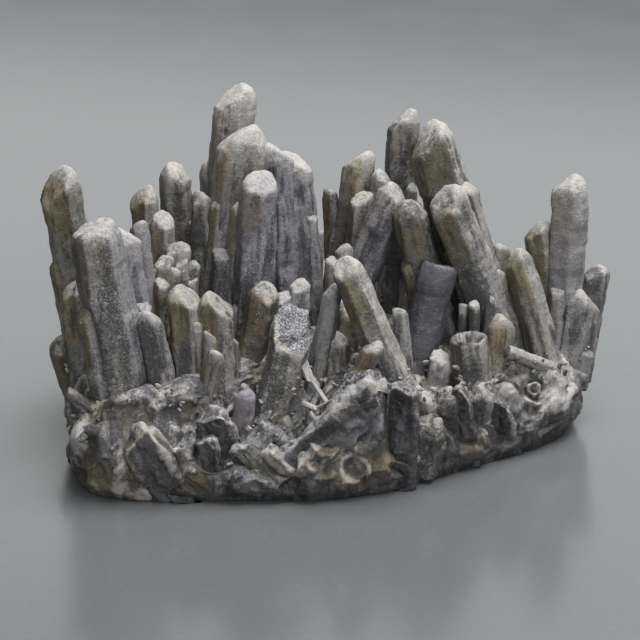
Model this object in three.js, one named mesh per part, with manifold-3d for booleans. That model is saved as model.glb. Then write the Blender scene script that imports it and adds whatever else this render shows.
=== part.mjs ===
// A morion (dark smoky quartz) cluster, cut flat at the bottom where it grew on its rock.
// Millimetres, +Z up, +X the long way of the cluster, +Y away from its show side.
// Everything grew together, so the whole cluster is one solid.
import * as THREE from "three";
import { mergeVertices } from "three/addons/utils/BufferGeometryUtils.js";
import Module from "manifold-3d";

const wasm = await Module();
wasm.setup();

// Driving dimensions
const ROOT_LEVEL = 5; // height in the druse where a crystal's axis starts, unless it says otherwise
const CAP_TILT = 55; // degrees between a crystal's axis and the normal of its cap faces
const BLUNTNESS = 0.2; // how far the cap faces stand off the point, as a share of the width
const FACE_WOBBLE = 0.1; // unevenness of the six prism faces, as a share of the half width
const SLIM = 4.3; // crystals slimmer than this have three cap faces instead of six
const TURN_WOBBLE = 7; // unevenness of the prism faces' directions, degrees
const BED_CENTRE = new THREE.Vector3(2, 1, 21); // middle of the druse bed's upper side
const BED_SEGMENTS = 64; // steps around the bed
const BED_WOBBLE = 1.3; // lumps of the bed, mm
const RIM_SHARDS = 48; // places for broken crystals around the bed's edge
const SHARDS_BEHIND = 2; // they stand only where the edge is further back than this
// A broken crystal of the edge: mm, and its two levels as shares of the rim's height
const SHARD = { length: 6.6, width: 4.2, inset: 5, low: 0.22, high: 0.78 };
const BED_CRYSTALS = 58; // small crystals on the bed between the tall ones
const BED_CRYSTALS_REACH = 0.9; // how far out they stand, as a share of the way to the bed's edge
const BED_CRYSTALS_FRONT = -20; // none stands further forward than this
// Thinner crystals grown parallel to each big one. Sizes are shares of the big one's width,
// and lower is a share of its length.
const COMPANION = { least: 7.8, count: 2, aside: 0.44, lower: 0.36, width: 0.44 };
const SPROUT = { length: 7, width: 3.0, sunk: 3.2, lean: 0.55 }; // a small crystal of the bed, mm
const BOX_CENTRE = new THREE.Vector3(2.21, 1.08, 0); // middle of the cluster's box in the list's frame

// The bed's edge seen from above, with the height of its upper rim: x, y, z.
// In front the rim is a zigzag, high over the biggest broken crystals and low between them.
const BED_RIM = [
  [-49.5, -19, 15], [-47.5, -26, 17], [-42.5, -29, 20], [-37.5, -30, 19], [-33, -30, 14], [-28, -30, 9],
  [-24, -30, 6], [-20, -30, 8], [-16, -30, 11], [-11, -30, 9], [-6, -30, 6.5], [-1, -30, 10.5],
  [4, -29.3, 17], [9, -28, 22], [14, -26.4, 22], [18.4, -24, 16], [21, -22.4, 10], [25, -20, 11],
  [30, -17, 11], [35, -14, 11], [40.5, -11, 9.5], [46.5, -7, 12], [51.5, -2.5, 14], [54, 3, 15],
  [54, 10, 13], [51, 17, 15], [45, 22, 13], [39, 25.5, 15], [31, 27, 12], [23, 28.8, 15], [14, 30, 13],
  [5, 30, 15], [-4, 29.5, 12], [-13, 30, 15], [-22, 29, 13], [-30, 27.5, 15], [-38, 25, 12],
  [-44, 19.5, 15], [-49, 13, 13], [-51, 4, 16], [-51.5, -5, 15], [-50.5, -12, 17],
];

// Tall crystals: tip and foot in mm, width across, and what differs from a plain blunt point.
// main is the biggest cap face: the side it looks to in degrees (0 right, 90 back, 270 front),
// its tilt from the axis and how far below the tip it crosses the axis, or chisel() works it out.
// broken is a crystal snapped by one plane, given in the same way. split is a crystal broken along
// its length: the side the break looks to, its tilt and how far it stands from the middle of the axis.
// narrow is the taper in degrees.
const TALL = [
  // left group
  { tip: [-51.2, 2, 56.8], foot: [-45.3, 5], width: 7.2, roll: 20, main: [215, 50, 2.2], narrow: -0.6 },
  { tip: [-42.8, -14, 54], foot: [-36, -17], width: 9.8, depth: 8.8, roll: 42, main: [200, 10, 3] },
  { tip: [-37.6, -10, 49.8], foot: [-32.6, -13], width: 6.4, roll: 10, main: [20, 42, 1.2] },
  { tip: [-35, -5, 49], foot: [-31.8, -7], width: 3.8, roll: 25 },
  { tip: [-34.8, 8, 51.8], foot: [-35.6, 5], width: 6.2, roll: 5, main: [205, 45, 1.8] },
  { tip: [-29.6, 16, 53.8], foot: [-27.8, 13], width: 6.6, roll: 30, main: [330, 45, 1.2] },
  { tip: [-30.8, 6, 47], foot: [-34, 2], width: 5.4, roll: 15 },
  { tip: [-27.6, 0, 42.4], foot: [-30, -5], width: 4.4, roll: 0 },
  { tip: [-30.4, -3, 40.4], foot: [-30, -6], width: 4, roll: 35 },
  { tip: [-25.4, -1, 38.6], foot: [-28, -6], width: 3.8, roll: 12 },
  { tip: [-30.8, -6, 37.2], foot: [-31, -8], width: 3.4, roll: 40 },
  { tip: [-28.8, -3.4, 38.8], foot: [-29, -3.9, 29], width: 3.2, roll: 15 },
  { tip: [-26.9, -2.6, 40], foot: [-27.1, -3, 29], width: 2.8, roll: 50 },
  { tip: [-25, -2.4, 36], foot: [-25.4, -2.8, 28], width: 2.8, roll: 30 },
  { tip: [-31.8, -3.6, 38.4], foot: [-31.6, -4, 29], width: 2.6, roll: 5 },
  { tip: [-48.6, -2, 35.2], foot: [-47, -4], width: 5.6, roll: 8, main: [220, 42, 1.2] },
  { tip: [-33, -15, 34.6], foot: [-28.4, -19], width: 5.2, roll: 20, main: [60, 45, 1] },
  { tip: [-52.8, 1, 21.8], foot: [-48, 0], width: 6, roll: 30 },
  // central fan
  { tip: [-16.6, 18, 69.4], foot: [-22.4, 12.5], width: 8.6, roll: 12, main: [200, 46, 1.6], narrow: 0.8 },
  { tip: [-14.6, 10, 63.8], foot: [-21, 7], width: 9.8, depth: 8.6, roll: 40,
    main: [165, 38, 1.4], narrow: -0.6 },
  { tip: [-11.6, 2, 57], foot: [-14.6, -1], width: 7.4, roll: 18, main: [285, 42, 1.8] },
  { tip: [-8.6, 10, 59.8], foot: [-7.8, 7], width: 6.4, roll: 0, main: [20, 40, 1.4] },
  { tip: [-5.8, 12, 58], foot: [-2, 9], width: 7, roll: 35, main: [350, 36, 2.4] },
  { tip: [-23, 9, 50], foot: [-23.6, 5], width: 5, roll: 10 },
  { tip: [-19, 4.7, 40], foot: [-21, 3], width: 5.4, roll: 22 },
  // short crystals in front of the fan
  { tip: [-26.2, -12, 38.3], foot: [-25.2, -16.4], width: 5.8, roll: 24, main: [330, 48, 1.2], narrow: -1.6 },
  { tip: [-20.4, -12, 37.3], foot: [-19.2, -16.4], width: 6.8, roll: 5, main: [345, 48, 1.6], narrow: -1 },
  { tip: [-19.6, -18, 27.4], foot: [-25.6, -18], width: 3.8, roll: 30, main: [60, 45, 0.6] },
  { tip: [-23.9, -14.5, 31.8], foot: [-23, -17], width: 3, roll: 0 },
  { tip: [-21.2, -16.4, 30.6], foot: [-21, -18], width: 2.8, roll: 20 },
  { tip: [-10.2, -6, 36.4], foot: [-16, -9.4], width: 5.8, roll: 20, main: [300, 46, 1] },
  { tip: [-3.6, -4, 36], foot: [-8.4, -8.8], width: 4.2, roll: 30 },
  { tip: [-6.8, -5, 34], foot: [-9.6, -8], width: 4.4, roll: 10 },
  { tip: [-4.6, -15, 34], foot: [-11.4, -18.4], width: 7.4, depth: 6.4, roll: 30, broken: [282, 58, 3.4] },
  { tip: [-14, -20.6, 21.6], foot: [-15.8, -20.4], width: 4.6, roll: 10 },
  // front right
  { tip: [4.2, -12, 44], foot: [20.4, -15.4], width: 6.2, roll: 28, main: [240, 42, 1.4] },
  { tip: [3.4, -10, 27.6], foot: [3.6, -13], width: 5, roll: 30 },
  { tip: [6, -5, 32.8], foot: [8.4, -9], width: 6.4, roll: 15, main: [300, 44, 1] },
  { tip: [3, -10, 37.6], foot: [-3.4, -13.2], width: 3.7, roll: 28, main: [200, 46, 0.6] },
  { tip: [15.4, -8, 32], foot: [18, -12.6], width: 3.2, roll: 10 },
  { tip: [24, 0, 37.8], foot: [15.8, -6.6], width: 6.6, roll: 30, broken: [80, 24, 0.3] },
  { tip: [29.2, -8, 25.6], foot: [31.6, -10.4], width: 7.2, roll: 30,
    broken: [250, 6, 0.2], hollow: [2.6, 5] },
  { tip: [36.6, 0, 27.2], foot: [34.4, -4.6], width: 4.8, roll: 25, main: [30, 40, 0.8], narrow: -1.6 },
  { tip: [37.2, -4.4, 20.6], foot: [48, -1, 14.6], width: 2.8, roll: 0, broken: [180, 12, 0] },
  { tip: [30.6, -1, 30.4], foot: [31, -4], width: 2.4, roll: 0 },
  { tip: [33.6, 1, 31.4], foot: [33.4, -3], width: 2.6, roll: 20 },
  { tip: [28.6, 0, 29.2], foot: [28, -3], width: 2.2, roll: 10 },
  { tip: [23.2, -7, 22.4], foot: [23, -10], width: 4.4, roll: 5, main: [300, 40, 0.8] },
  // back right group
  { tip: [17.6, 26, 61.6], foot: [14.4, 19], width: 6.4, roll: 14, main: [190, 44, 1.4] },
  { tip: [21.2, 14, 63], foot: [38.6, 9], width: 9.8, roll: 26, main: [205, 40, 2.6], narrow: 1 },
  { tip: [23.8, 4, 52.4], foot: [42.6, 4], width: 8, roll: 10, main: [215, 42, 1.8] },
  { tip: [16.8, 6, 48.8], foot: [28.6, 3], width: 7.2, roll: 32, main: [240, 34, 1] },
  { tip: [15.4, 10, 51], foot: [-1, 6.4], width: 6.4, roll: 30, main: [330, 44, 1] },
  { tip: [8.6, 22, 54.2], foot: [0.4, 15.4], width: 6.6, roll: 8, main: [170, 44, 1.4] },
  { tip: [12.8, 18, 51], foot: [8.2, 13.4], width: 4.8, roll: 20 },
  { tip: [8.8, 16, 47.2], foot: [4.6, 11.6], width: 5, roll: 30 },
  { tip: [2.2, 20, 46.4], foot: [3.4, 15.8], width: 3.6, roll: 0 },
  { tip: [5, 8, 39.2], foot: [5, 3], width: 3.8, roll: 12 },
  { tip: [2.6, 6, 36.8], foot: [3.8, 1], width: 3.6, roll: 24 },
  { tip: [37, 12, 37.4], foot: [39, 8], width: 3.6, roll: 30 },
  { tip: [35.4, 6, 34.6], foot: [38.4, 3], width: 4, roll: 15 },
  // right group
  { tip: [38.8, 6, 38.6], foot: [49.4, -0.6], width: 5.6, roll: 22, main: [200, 45, 1] },
  { tip: [44.4, 14, 41.2], foot: [48, 10.8], width: 5.6, roll: 10, main: [190, 40, 1] },
  { tip: [50.6, 14, 52], foot: [50.3, 9], width: 7.6, roll: 0, main: [185, 34, 1.2], narrow: -0.3 },
  { tip: [57, 12, 32.6], foot: [53, 8], width: 5.4, roll: 26, narrow: 1 },
  { tip: [54, 9, 28.8], foot: [51, 6], width: 7, roll: 10, main: [0, 40, 1] },
  // broken crystals of the front edge
  { tip: [-35.4, -29.2, 16.6], foot: [-26.2, -27.2, -4], width: 7.4, depth: 6.4, roll: 0,
    split: [268, 90, 1.6] },
  { tip: [-19.9, -27.2, 19.8], foot: [-18.2, -23, -4], width: 6.4, roll: 30,
    main: [250, 40, 0.8], split: [266, 89, 1.3] },
  { tip: [-21.4, -29.6, 14.4], foot: [-20.6, -24, 2], width: 4.6, roll: 10, split: [255, 86, 1] },
  { tip: [-29.4, -25.4, 14.6], foot: [-25, -21, 2], width: 5.4, roll: 20, main: [250, 40, 1] },
  { tip: [-16.4, -28.2, 12.6], foot: [-8.4, -25.4, 1], width: 3.4, depth: 3, roll: 30 },
  { tip: [-10.6, -28.2, 12], foot: [-2.6, -25.4, 2], width: 3.6, depth: 3, roll: 30 },
  { tip: [12.2, -25.6, 23.4], foot: [-5.6, -26, 5.4], width: 8, depth: 6.4, roll: 0, split: [270, 90, 1.6] },
  { tip: [15.4, -24.6, 24], foot: [15.6, -22.6, -4], width: 6.2, roll: 2,
    main: [300, 30, 0.8], split: [264, 89, 1.3], narrow: 0.2 },
  { tip: [22, -20.8, 15], foot: [20, -18, 2], width: 6.6, roll: 20, main: [280, 30, 1] },
  { tip: [20, -17.6, 19.4], foot: [19.2, -14.3, 4], width: 6, roll: 10 },
  { tip: [24.6, -16.8, 19], foot: [24, -13, 4], width: 5.6, roll: 40 },
  { tip: [30.8, -13.6, 18.4], foot: [30.4, -9, 4], width: 6, roll: 25 },
  { tip: [27.4, -18, 20], foot: [28, -13, -2], width: 5.6, roll: 4, main: [350, 60, 1.6],
    split: [262, 88, 1], narrow: 6 },
  { tip: [35.4, -13.2, 14.8], foot: [36, -8, -2], width: 6.4, roll: 10, split: [268, 87, 1], narrow: 9 },
  { tip: [37.4, -11, 15.4], foot: [36.6, -4, 4], width: 6.4, roll: 25, main: [280, 40, 2] },
  { tip: [42.8, -6.6, 13.4], foot: [42, 2, 6], width: 3, roll: 0, broken: [270, 10, 0], hollow: [0.8, 2] },
  // back side
  { tip: [-40, 25, 31.6], foot: [-36, 18], width: 7, roll: 14, main: [90, 44, 1.4] },
  { tip: [-47.6, 18, 27], foot: [-42, 14], width: 6, roll: 4, main: [150, 42, 1.2] },
  { tip: [-31.6, 29.4, 36.6], foot: [-28.6, 20], width: 7.8, roll: 30, main: [80, 44, 1.6] },
  { tip: [-21.4, 27.6, 51], foot: [-20.4, 20], width: 7.4, roll: 10, main: [110, 46, 1.4] },
  { tip: [-10.4, 28.4, 45.8], foot: [-11.6, 20], width: 8.8, roll: 25, main: [70, 40, 2] },
  { tip: [-1.6, 30.6, 33.4], foot: [-3, 21], width: 6, roll: 0, broken: [90, 30, 1] },
  { tip: [7, 30.8, 38], foot: [6, 21], width: 7, roll: 20, main: [100, 44, 1.4] },
  { tip: [26.4, 27.6, 46], foot: [24, 18], width: 8, roll: 5, main: [60, 42, 1.8] },
  { tip: [34.6, 25, 34], foot: [32, 17], width: 6, roll: 28, main: [90, 44, 1.2] },
  { tip: [44, 24.4, 30.4], foot: [41, 17], width: 6.8, roll: 16, main: [40, 44, 1.2] },
  { tip: [16.6, 31.4, 29], foot: [16, 21], width: 5.6, roll: 9, broken: [90, 35, 1] },
  { tip: [-52.4, 11, 33], foot: [-47, 10], width: 6.2, roll: 21, main: [180, 44, 1.2] },
];

const RADIAN = Math.PI / 180;

// A fixed irregular number from -1 to 1 for each pair of keys
function wobble(key, index) {
  const wave = Math.sin(12.9898 * key + 78.233 * index) * 43758.5453;
  return 2 * (wave - Math.floor(wave)) - 1;
}

// A closed mesh as a solid that can be joined and cut
function solidOf(geometry) {
  geometry.deleteAttribute("normal");
  geometry.deleteAttribute("uv");
  const closed = mergeVertices(geometry, 1e-4);
  const vertProperties = new Float32Array(closed.attributes.position.array);
  const triVerts = new Uint32Array(closed.index.array);
  return new wasm.Manifold(new wasm.Mesh({ numProp: 3, vertProperties, triVerts }));
}

// The crystal's own directions: along its axis, and two across it (right and back)
function directions(crystal) {
  const tip = new THREE.Vector3(...crystal.tip);
  const [x, y, z = ROOT_LEVEL] = crystal.foot;
  const foot = new THREE.Vector3(x, y, z);
  const along = tip.clone().sub(foot).normalize();
  const right = new THREE.Vector3(1, 0, 0);
  right.addScaledVector(along, -right.dot(along)).normalize();
  const back = along.clone().cross(right);
  return { tip, foot, along, right, back };
}

// A plane that cuts a crystal: looks to the side `azimuth`, tilted from the axis, past a point
function cut(axes, azimuth, tilt, point, offset) {
  const normal = new THREE.Vector3();
  normal.addScaledVector(axes.right, Math.cos(azimuth * RADIAN) * Math.sin(tilt * RADIAN));
  normal.addScaledVector(axes.back, Math.sin(azimuth * RADIAN) * Math.sin(tilt * RADIAN));
  normal.addScaledVector(axes.along, Math.cos(tilt * RADIAN));
  return { normal, reach: normal.dot(point) + offset };
}

// The biggest cap face of a crystal that states none
function chisel(crystal) {
  const key = crystal.tip[0] + 2 * crystal.tip[2];
  return [180 * wobble(key, 40), 38 + 8 * wobble(key, 41), 0.2 * crystal.width];
}

// The flat faces of a crystal: six around the prism, then its cap or its breaks
function faces(crystal, axes) {
  const key = crystal.tip[0] + 2 * crystal.tip[2];
  const halfWidth = crystal.width / 2;
  const halfDepth = (crystal.depth ?? crystal.width * 0.94) / 2;
  const middle = axes.tip.clone().add(axes.foot).multiplyScalar(0.5);
  const narrow = crystal.narrow ?? 0.5;
  const capStep = crystal.width < SLIM ? 2 : 1;
  const list = [];
  for (let side = 0; side < 6; side += 1) {
    const azimuth = crystal.roll + 60 * side + TURN_WOBBLE * wobble(key, side);
    const across = Math.hypot(halfWidth * Math.cos(azimuth * RADIAN), halfDepth * Math.sin(azimuth * RADIAN));
    const offset = across * (1 + FACE_WOBBLE * wobble(key, side + 10));
    list.push(cut(axes, azimuth, 90 - narrow, middle, offset));
    if (!crystal.broken && side % capStep === 0) {
      const tilt = CAP_TILT + 5 * wobble(key, side + 20);
      const standOff = crystal.width * BLUNTNESS * (1 + 0.5 * wobble(key, side + 30));
      list.push(cut(axes, azimuth, tilt, axes.tip, standOff));
    }
  }
  const [azimuth, tilt, drop] = crystal.broken ?? crystal.main ?? chisel(crystal);
  list.push(cut(axes, azimuth, tilt, axes.tip.clone().addScaledVector(axes.along, -drop), 0));
  list.push(cut(axes, 0, 0, axes.tip, 0));
  if (crystal.split) {
    const [splitAzimuth, splitTilt, standOff] = crystal.split;
    list.push(cut(axes, splitAzimuth, splitTilt, middle, standOff));
  }
  return list;
}

// A block along the crystal's axis, cut down to the crystal's faces
function crystalSolid(crystal) {
  const axes = directions(crystal);
  const length = axes.tip.distanceTo(axes.foot);
  const block = new THREE.BoxGeometry(3 * crystal.width, 3 * crystal.width, length + 1);
  block.applyMatrix4(new THREE.Matrix4().makeBasis(axes.right, axes.back, axes.along));
  const middle = axes.tip.clone().add(axes.foot).multiplyScalar(0.5);
  block.translate(middle.x, middle.y, middle.z);
  let solid = solidOf(block);
  for (const face of faces(crystal, axes)) {
    solid = solid.trimByPlane(face.normal.clone().negate().toArray(), -face.reach);
  }
  return crystal.hollow ? solid.subtract(hollowOf(crystal, axes)) : solid;
}

// The six-sided pit in the end of a skeletal crystal: half width and depth
function hollowOf(crystal, axes) {
  const [radius, depth] = crystal.hollow;
  const pit = new THREE.CylinderGeometry(radius, radius * 0.7, 2 * depth, 6);
  pit.rotateX(Math.PI / 2);
  pit.rotateZ(crystal.roll * RADIAN);
  pit.applyMatrix4(new THREE.Matrix4().makeBasis(axes.right, axes.back, axes.along));
  pit.translate(axes.tip.x, axes.tip.y, axes.tip.z);
  return solidOf(pit);
}

const rim = new THREE.CatmullRomCurve3(BED_RIM.map((point) => new THREE.Vector3(...point)), true);

// A point of the bed's upper side: `turn` around it (0 to 1), `spread` from its middle (0) to its rim (1)
function bedPoint(turn, spread) {
  const edge = rim.getPoint(turn);
  return BED_CENTRE.clone().lerp(edge, spread);
}

// The druse bed: rings from the middle of the flat bottom, up the side and in over the top
function bedSolid() {
  // share of the way from the middle to the rim, and share of the rim's height
  const rings = [[0.5, 0], [0.95, 0], [0.98, 0.3], [0.97, 0.7], [0.9, 1], [0.72, 1], [0.4, 1]];
  const points = [BED_CENTRE.clone().setZ(0)];
  for (const [ring, [spread, level]] of rings.entries()) {
    for (let step = 0; step < BED_SEGMENTS; step += 1) {
      const point = bedPoint(step / BED_SEGMENTS, spread);
      point.z *= level;
      if (level > 0) {
        point.x += BED_WOBBLE * wobble(step, ring);
        point.y += BED_WOBBLE * wobble(step, ring + 20);
        point.z += BED_WOBBLE * wobble(step, ring + 40);
      }
      points.push(point);
    }
  }
  points.push(BED_CENTRE.clone());
  const index = [];
  const last = points.length - 1;
  const start = last - BED_SEGMENTS;
  for (let step = 0; step < BED_SEGMENTS; step += 1) {
    const next = (step + 1) % BED_SEGMENTS;
    index.push(0, 1 + next, 1 + step);
    index.push(last, start + step, start + next);
    for (let ring = 0; ring < rings.length - 1; ring += 1) {
      const low = 1 + ring * BED_SEGMENTS;
      const high = low + BED_SEGMENTS;
      index.push(low + step, low + next, high + next);
      index.push(low + step, high + next, high + step);
    }
  }
  const geometry = new THREE.BufferGeometry();
  geometry.setAttribute("position", new THREE.Float32BufferAttribute(points.flatMap((p) => p.toArray()), 3));
  geometry.setIndex(index);
  return solidOf(geometry);
}

// The thinner crystals beside a big one: set to its side, with lower tips
function companions(big) {
  const axes = directions(big);
  const key = big.tip[0] + 3 * big.tip[2];
  const length = axes.tip.distanceTo(axes.foot);
  const list = [];
  for (let i = 0; i < COMPANION.count; i += 1) {
    const turn = big.roll + 60 * Math.floor(3 * wobble(key, 70 + i));
    const side = new THREE.Vector3();
    side.addScaledVector(axes.right, Math.cos(turn * RADIAN));
    side.addScaledVector(axes.back, Math.sin(turn * RADIAN));
    side.multiplyScalar(big.width * COMPANION.aside);
    const lower = length * (COMPANION.lower + 0.2 * wobble(key, 80 + i));
    list.push({
      tip: axes.tip.clone().add(side).addScaledVector(axes.along, -lower).toArray(),
      foot: axes.foot.clone().add(side).toArray(),
      width: big.width * (COMPANION.width + 0.08 * wobble(key, 90 + i)),
      roll: big.roll + 20 * wobble(key, 95 + i),
      main: [turn, 46, 0.6],
    });
  }
  return list;
}

// Broken crystals that stick out of the bed's edge at the sides and behind
function rimShards() {
  const shards = [];
  for (let i = 0; i < RIM_SHARDS; i += 1) {
    if (rim.getPoint(i / RIM_SHARDS).y < SHARDS_BEHIND) continue;
    const turn = (i + 0.3 * wobble(i, 1)) / RIM_SHARDS;
    const edge = rim.getPoint(turn);
    const outward = edge.clone().sub(BED_CENTRE).setZ(0).normalize();
    const sideways = new THREE.Vector3(-outward.y, outward.x, 0);
    const foot = edge.clone().addScaledVector(outward, -SHARD.inset);
    const level = i % 2 === 0 ? SHARD.low : SHARD.high;
    foot.z = edge.z * (level + 0.14 * wobble(i, 2));
    const heading = outward.clone().addScaledVector(sideways, 0.5 * wobble(i, 3));
    heading.z = level + 0.4 * wobble(i, 4);
    const tip = foot.clone().addScaledVector(heading.normalize(), SHARD.length + 1.4 * wobble(i, 5));
    shards.push({
      tip: tip.toArray(),
      foot: foot.toArray(),
      width: SHARD.width + 1.4 * wobble(i, 6),
      roll: 30 * wobble(i, 7),
      broken: [180 * wobble(i, 8), 22 + 20 * wobble(i, 9), 0.4],
    });
  }
  return shards;
}

// Small crystals on the bed, spread evenly over it and leaning outwards, every second one snapped
function bedCrystals() {
  const small = [];
  const goldenTurn = 0.381966; // spreads the feet evenly
  for (let i = 0; i < BED_CRYSTALS; i += 1) {
    const turn = (i * goldenTurn) % 1;
    const spread = BED_CRYSTALS_REACH * Math.sqrt((i + 0.5) / BED_CRYSTALS);
    const foot = bedPoint(turn, spread);
    if (foot.y < BED_CRYSTALS_FRONT) continue;
    const outward = foot.clone().sub(BED_CENTRE).setZ(0);
    const heading = outward.clone().divideScalar(70);
    heading.x += SPROUT.lean * wobble(i, 51);
    heading.y += SPROUT.lean * wobble(i, 52);
    heading.z = 1;
    foot.z -= SPROUT.sunk;
    const tip = foot.clone().addScaledVector(heading.normalize(), SPROUT.length + 4 * wobble(i, 53));
    small.push({
      tip: tip.toArray(),
      foot: foot.toArray(),
      width: SPROUT.width + 1.1 * wobble(i, 54),
      roll: 30 * wobble(i, 55),
    });
  }
  return small;
}

// A solid's mesh as a three.js geometry, with flat faces
function geometryOf(solid) {
  const mesh = solid.getMesh();
  const geometry = new THREE.BufferGeometry();
  geometry.setAttribute("position", new THREE.BufferAttribute(new Float32Array(mesh.vertProperties), 3));
  geometry.setIndex(new THREE.BufferAttribute(new Uint32Array(mesh.triVerts), 1));
  return geometry;
}

const big = TALL.filter((one) => one.width >= COMPANION.least && !one.broken && !one.split);
const grown = [...TALL, ...big.flatMap(companions), ...rimShards(), ...bedCrystals()].map(crystalSolid);
const joined = wasm.Manifold.union([bedSolid(), ...grown]).trimByPlane([0, 0, 1], 0);
// Joining can leave a loose sliver of a few thousandths of a cubic millimetre: only the cluster is kept
const [cluster] = joined.decompose().sort((one, other) => other.volume() - one.volume());
const geometry = geometryOf(cluster);
geometry.translate(-BOX_CENTRE.x, -BOX_CENTRE.y, -BOX_CENTRE.z);

const smokyQuartz = new THREE.MeshStandardMaterial({ color: 0x6d6c6a, roughness: 0.55, metalness: 0 });
const mesh = new THREE.Mesh(geometry, smokyQuartz);
mesh.name = "quartz_cluster";

const group = new THREE.Group();
group.add(mesh);
export default group;
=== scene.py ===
# %% [markdown]
# # A morion quartz cluster
#
# Morion is quartz that natural radiation has turned smoky, here to a frosted, almost
# opaque grey. The specimen is one grown piece: blunt crystals with creamy frosted caps
# stand on a rough bed of tiny crystals, the druse. Its bottom is cut flat, and its edge
# is a zigzag of broken crystals with dark faces and pale rims.
#
# The solid that carries the cluster comes with the frame. This lesson puts the visible
# surface around it: every crystal is worked out again from the same planes, but fine
# enough to round its frosted edges, and it gets its own colours.
#
# Lengths are in millimetres until a mesh is made, and metres from there on.

import bpy
import numpy as np
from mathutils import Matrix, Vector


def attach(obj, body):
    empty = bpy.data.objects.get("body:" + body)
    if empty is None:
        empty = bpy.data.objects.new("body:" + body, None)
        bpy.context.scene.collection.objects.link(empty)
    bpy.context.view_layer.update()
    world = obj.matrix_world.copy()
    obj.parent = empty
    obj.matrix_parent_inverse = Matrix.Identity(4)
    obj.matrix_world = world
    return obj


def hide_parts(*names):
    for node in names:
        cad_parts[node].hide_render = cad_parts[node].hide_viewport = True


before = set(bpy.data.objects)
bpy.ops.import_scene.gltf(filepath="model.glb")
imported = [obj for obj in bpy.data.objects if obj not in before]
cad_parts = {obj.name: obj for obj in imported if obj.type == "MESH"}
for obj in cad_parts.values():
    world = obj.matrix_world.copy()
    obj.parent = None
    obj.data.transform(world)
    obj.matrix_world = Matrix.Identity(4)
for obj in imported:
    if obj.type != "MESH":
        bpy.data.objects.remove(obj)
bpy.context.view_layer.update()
NODE = "quartz_cluster"
BODY = "root"
MM = 0.001

# %% [markdown]
# ## The camera
#
# The cluster stands on a table and is seen from a little above, from a short distance.
# A long lens keeps the crystals upright instead of spreading them. The camera is made
# first, so that each later step can be looked at from the right place: it starts from
# the point that it looks at and moves back along its own line of sight.

# %% Camera
LOOK_AT = np.array([-2.21, -1.08, 25.3])
CAMERA_DISTANCE = 356.0
CAMERA_ELEVATION = np.radians(24)

camera_data = bpy.data.cameras.new("camera")
camera_data.lens = 100
camera_data.sensor_width = 36
camera = bpy.data.objects.new("camera", camera_data)
bpy.context.scene.collection.objects.link(camera)
bpy.context.scene.camera = camera
back_off = np.array([0, -np.cos(CAMERA_ELEVATION), np.sin(CAMERA_ELEVATION)])
camera.location = (LOOK_AT + CAMERA_DISTANCE * back_off) * MM
camera.rotation_euler = (np.pi / 2 - CAMERA_ELEVATION, 0, 0)
print("camera at", [round(value, 4) for value in camera.location])

# %% [markdown]
# ## Irregular numbers and noise
#
# Nothing in a crystal is quite regular. A fixed irregular number for each pair of keys
# keeps each crystal's faces uneven in the same way on every run, and the solid in the
# frame was cut with the same formula. Relief needs noise that is smooth in space
# instead: random values on the corners of a cubic lattice, blended in between. Cells
# around scattered points give grains, because each grain has a border with the next.

# %% Irregular numbers
def wobble(key, index):
    """Fixed irregular number from -1 to 1: the fraction left of a large multiple of a sine."""
    wave = np.sin(12.9898 * key + 78.233 * index) * 43758.5453
    return 2 * (wave - np.floor(wave)) - 1


def scramble(corner, seed):
    """Random numbers from 0 to 1 for whole-number lattice corners: multiply, fold, repeat."""
    x, y, z = (corner[..., axis].astype(np.int64) for axis in range(3))
    mixed = (x * 73856093) ^ (y * 19349663) ^ (z * 83492791) ^ (seed * 40503 + 12345)
    mixed = (mixed ^ (mixed >> 13)) * 1274126177 & 0x7FFFFFFF
    mixed = (mixed ^ (mixed >> 15)) * 69069 & 0x7FFFFFFF
    return (mixed >> 7) / float(0x7FFFFFFF >> 7)


# %% Noise
CORNERS = np.array([[i, j, k] for i in (0, 1) for j in (0, 1) for k in (0, 1)])
NEIGHBOURS = np.array([[i, j, k] for i in (-1, 0, 1) for j in (-1, 0, 1) for k in (-1, 0, 1)])


def noise(points, size, seed=0):
    """Smooth noise from -1 to 1 with lumps of this size: lattice values blended by 3t^2-2t^3."""
    scaled = points / size
    low = np.floor(scaled)
    part = scaled - low
    part = part * part * (3 - 2 * part)
    total = np.zeros(points.shape[:-1])
    for corner in CORNERS:
        weight = np.prod(np.where(corner, part, 1 - part), axis=-1)
        total += weight * scramble(low + corner, seed)
    return 2 * total - 1


def grains(points, size, seed=0):
    """Cells around scattered points, one in each lattice cube. Returns the distance to the
    nearest point, the extra distance to the second nearest, the cell's random number and
    the way from the cell's point."""
    scaled = points / size
    low = np.floor(scaled)
    first = np.full(points.shape[:-1], 9.0)
    second = first.copy()
    chance = np.zeros_like(first)
    way = np.zeros_like(points)
    for step in NEIGHBOURS:
        cube = low + step
        seeds = np.stack([scramble(cube, seed + axis) for axis in (1, 2, 3)], axis=-1)
        offset = scaled - cube - seeds
        distance = np.linalg.norm(offset, axis=-1)
        nearer = distance < first
        second = np.where(nearer, first, np.minimum(second, distance))
        first = np.where(nearer, distance, first)
        chance = np.where(nearer, scramble(cube, seed + 4), chance)
        way = np.where(nearer[..., None], offset, way)
    return first * size, (second - first) * size, chance, way * size


def ramp(value, low, high):
    """0 below low, 1 above high, and a smooth step in between."""
    part = np.clip((value - low) / (high - low), 0, 1)
    return part * part * (3 - 2 * part)


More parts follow.
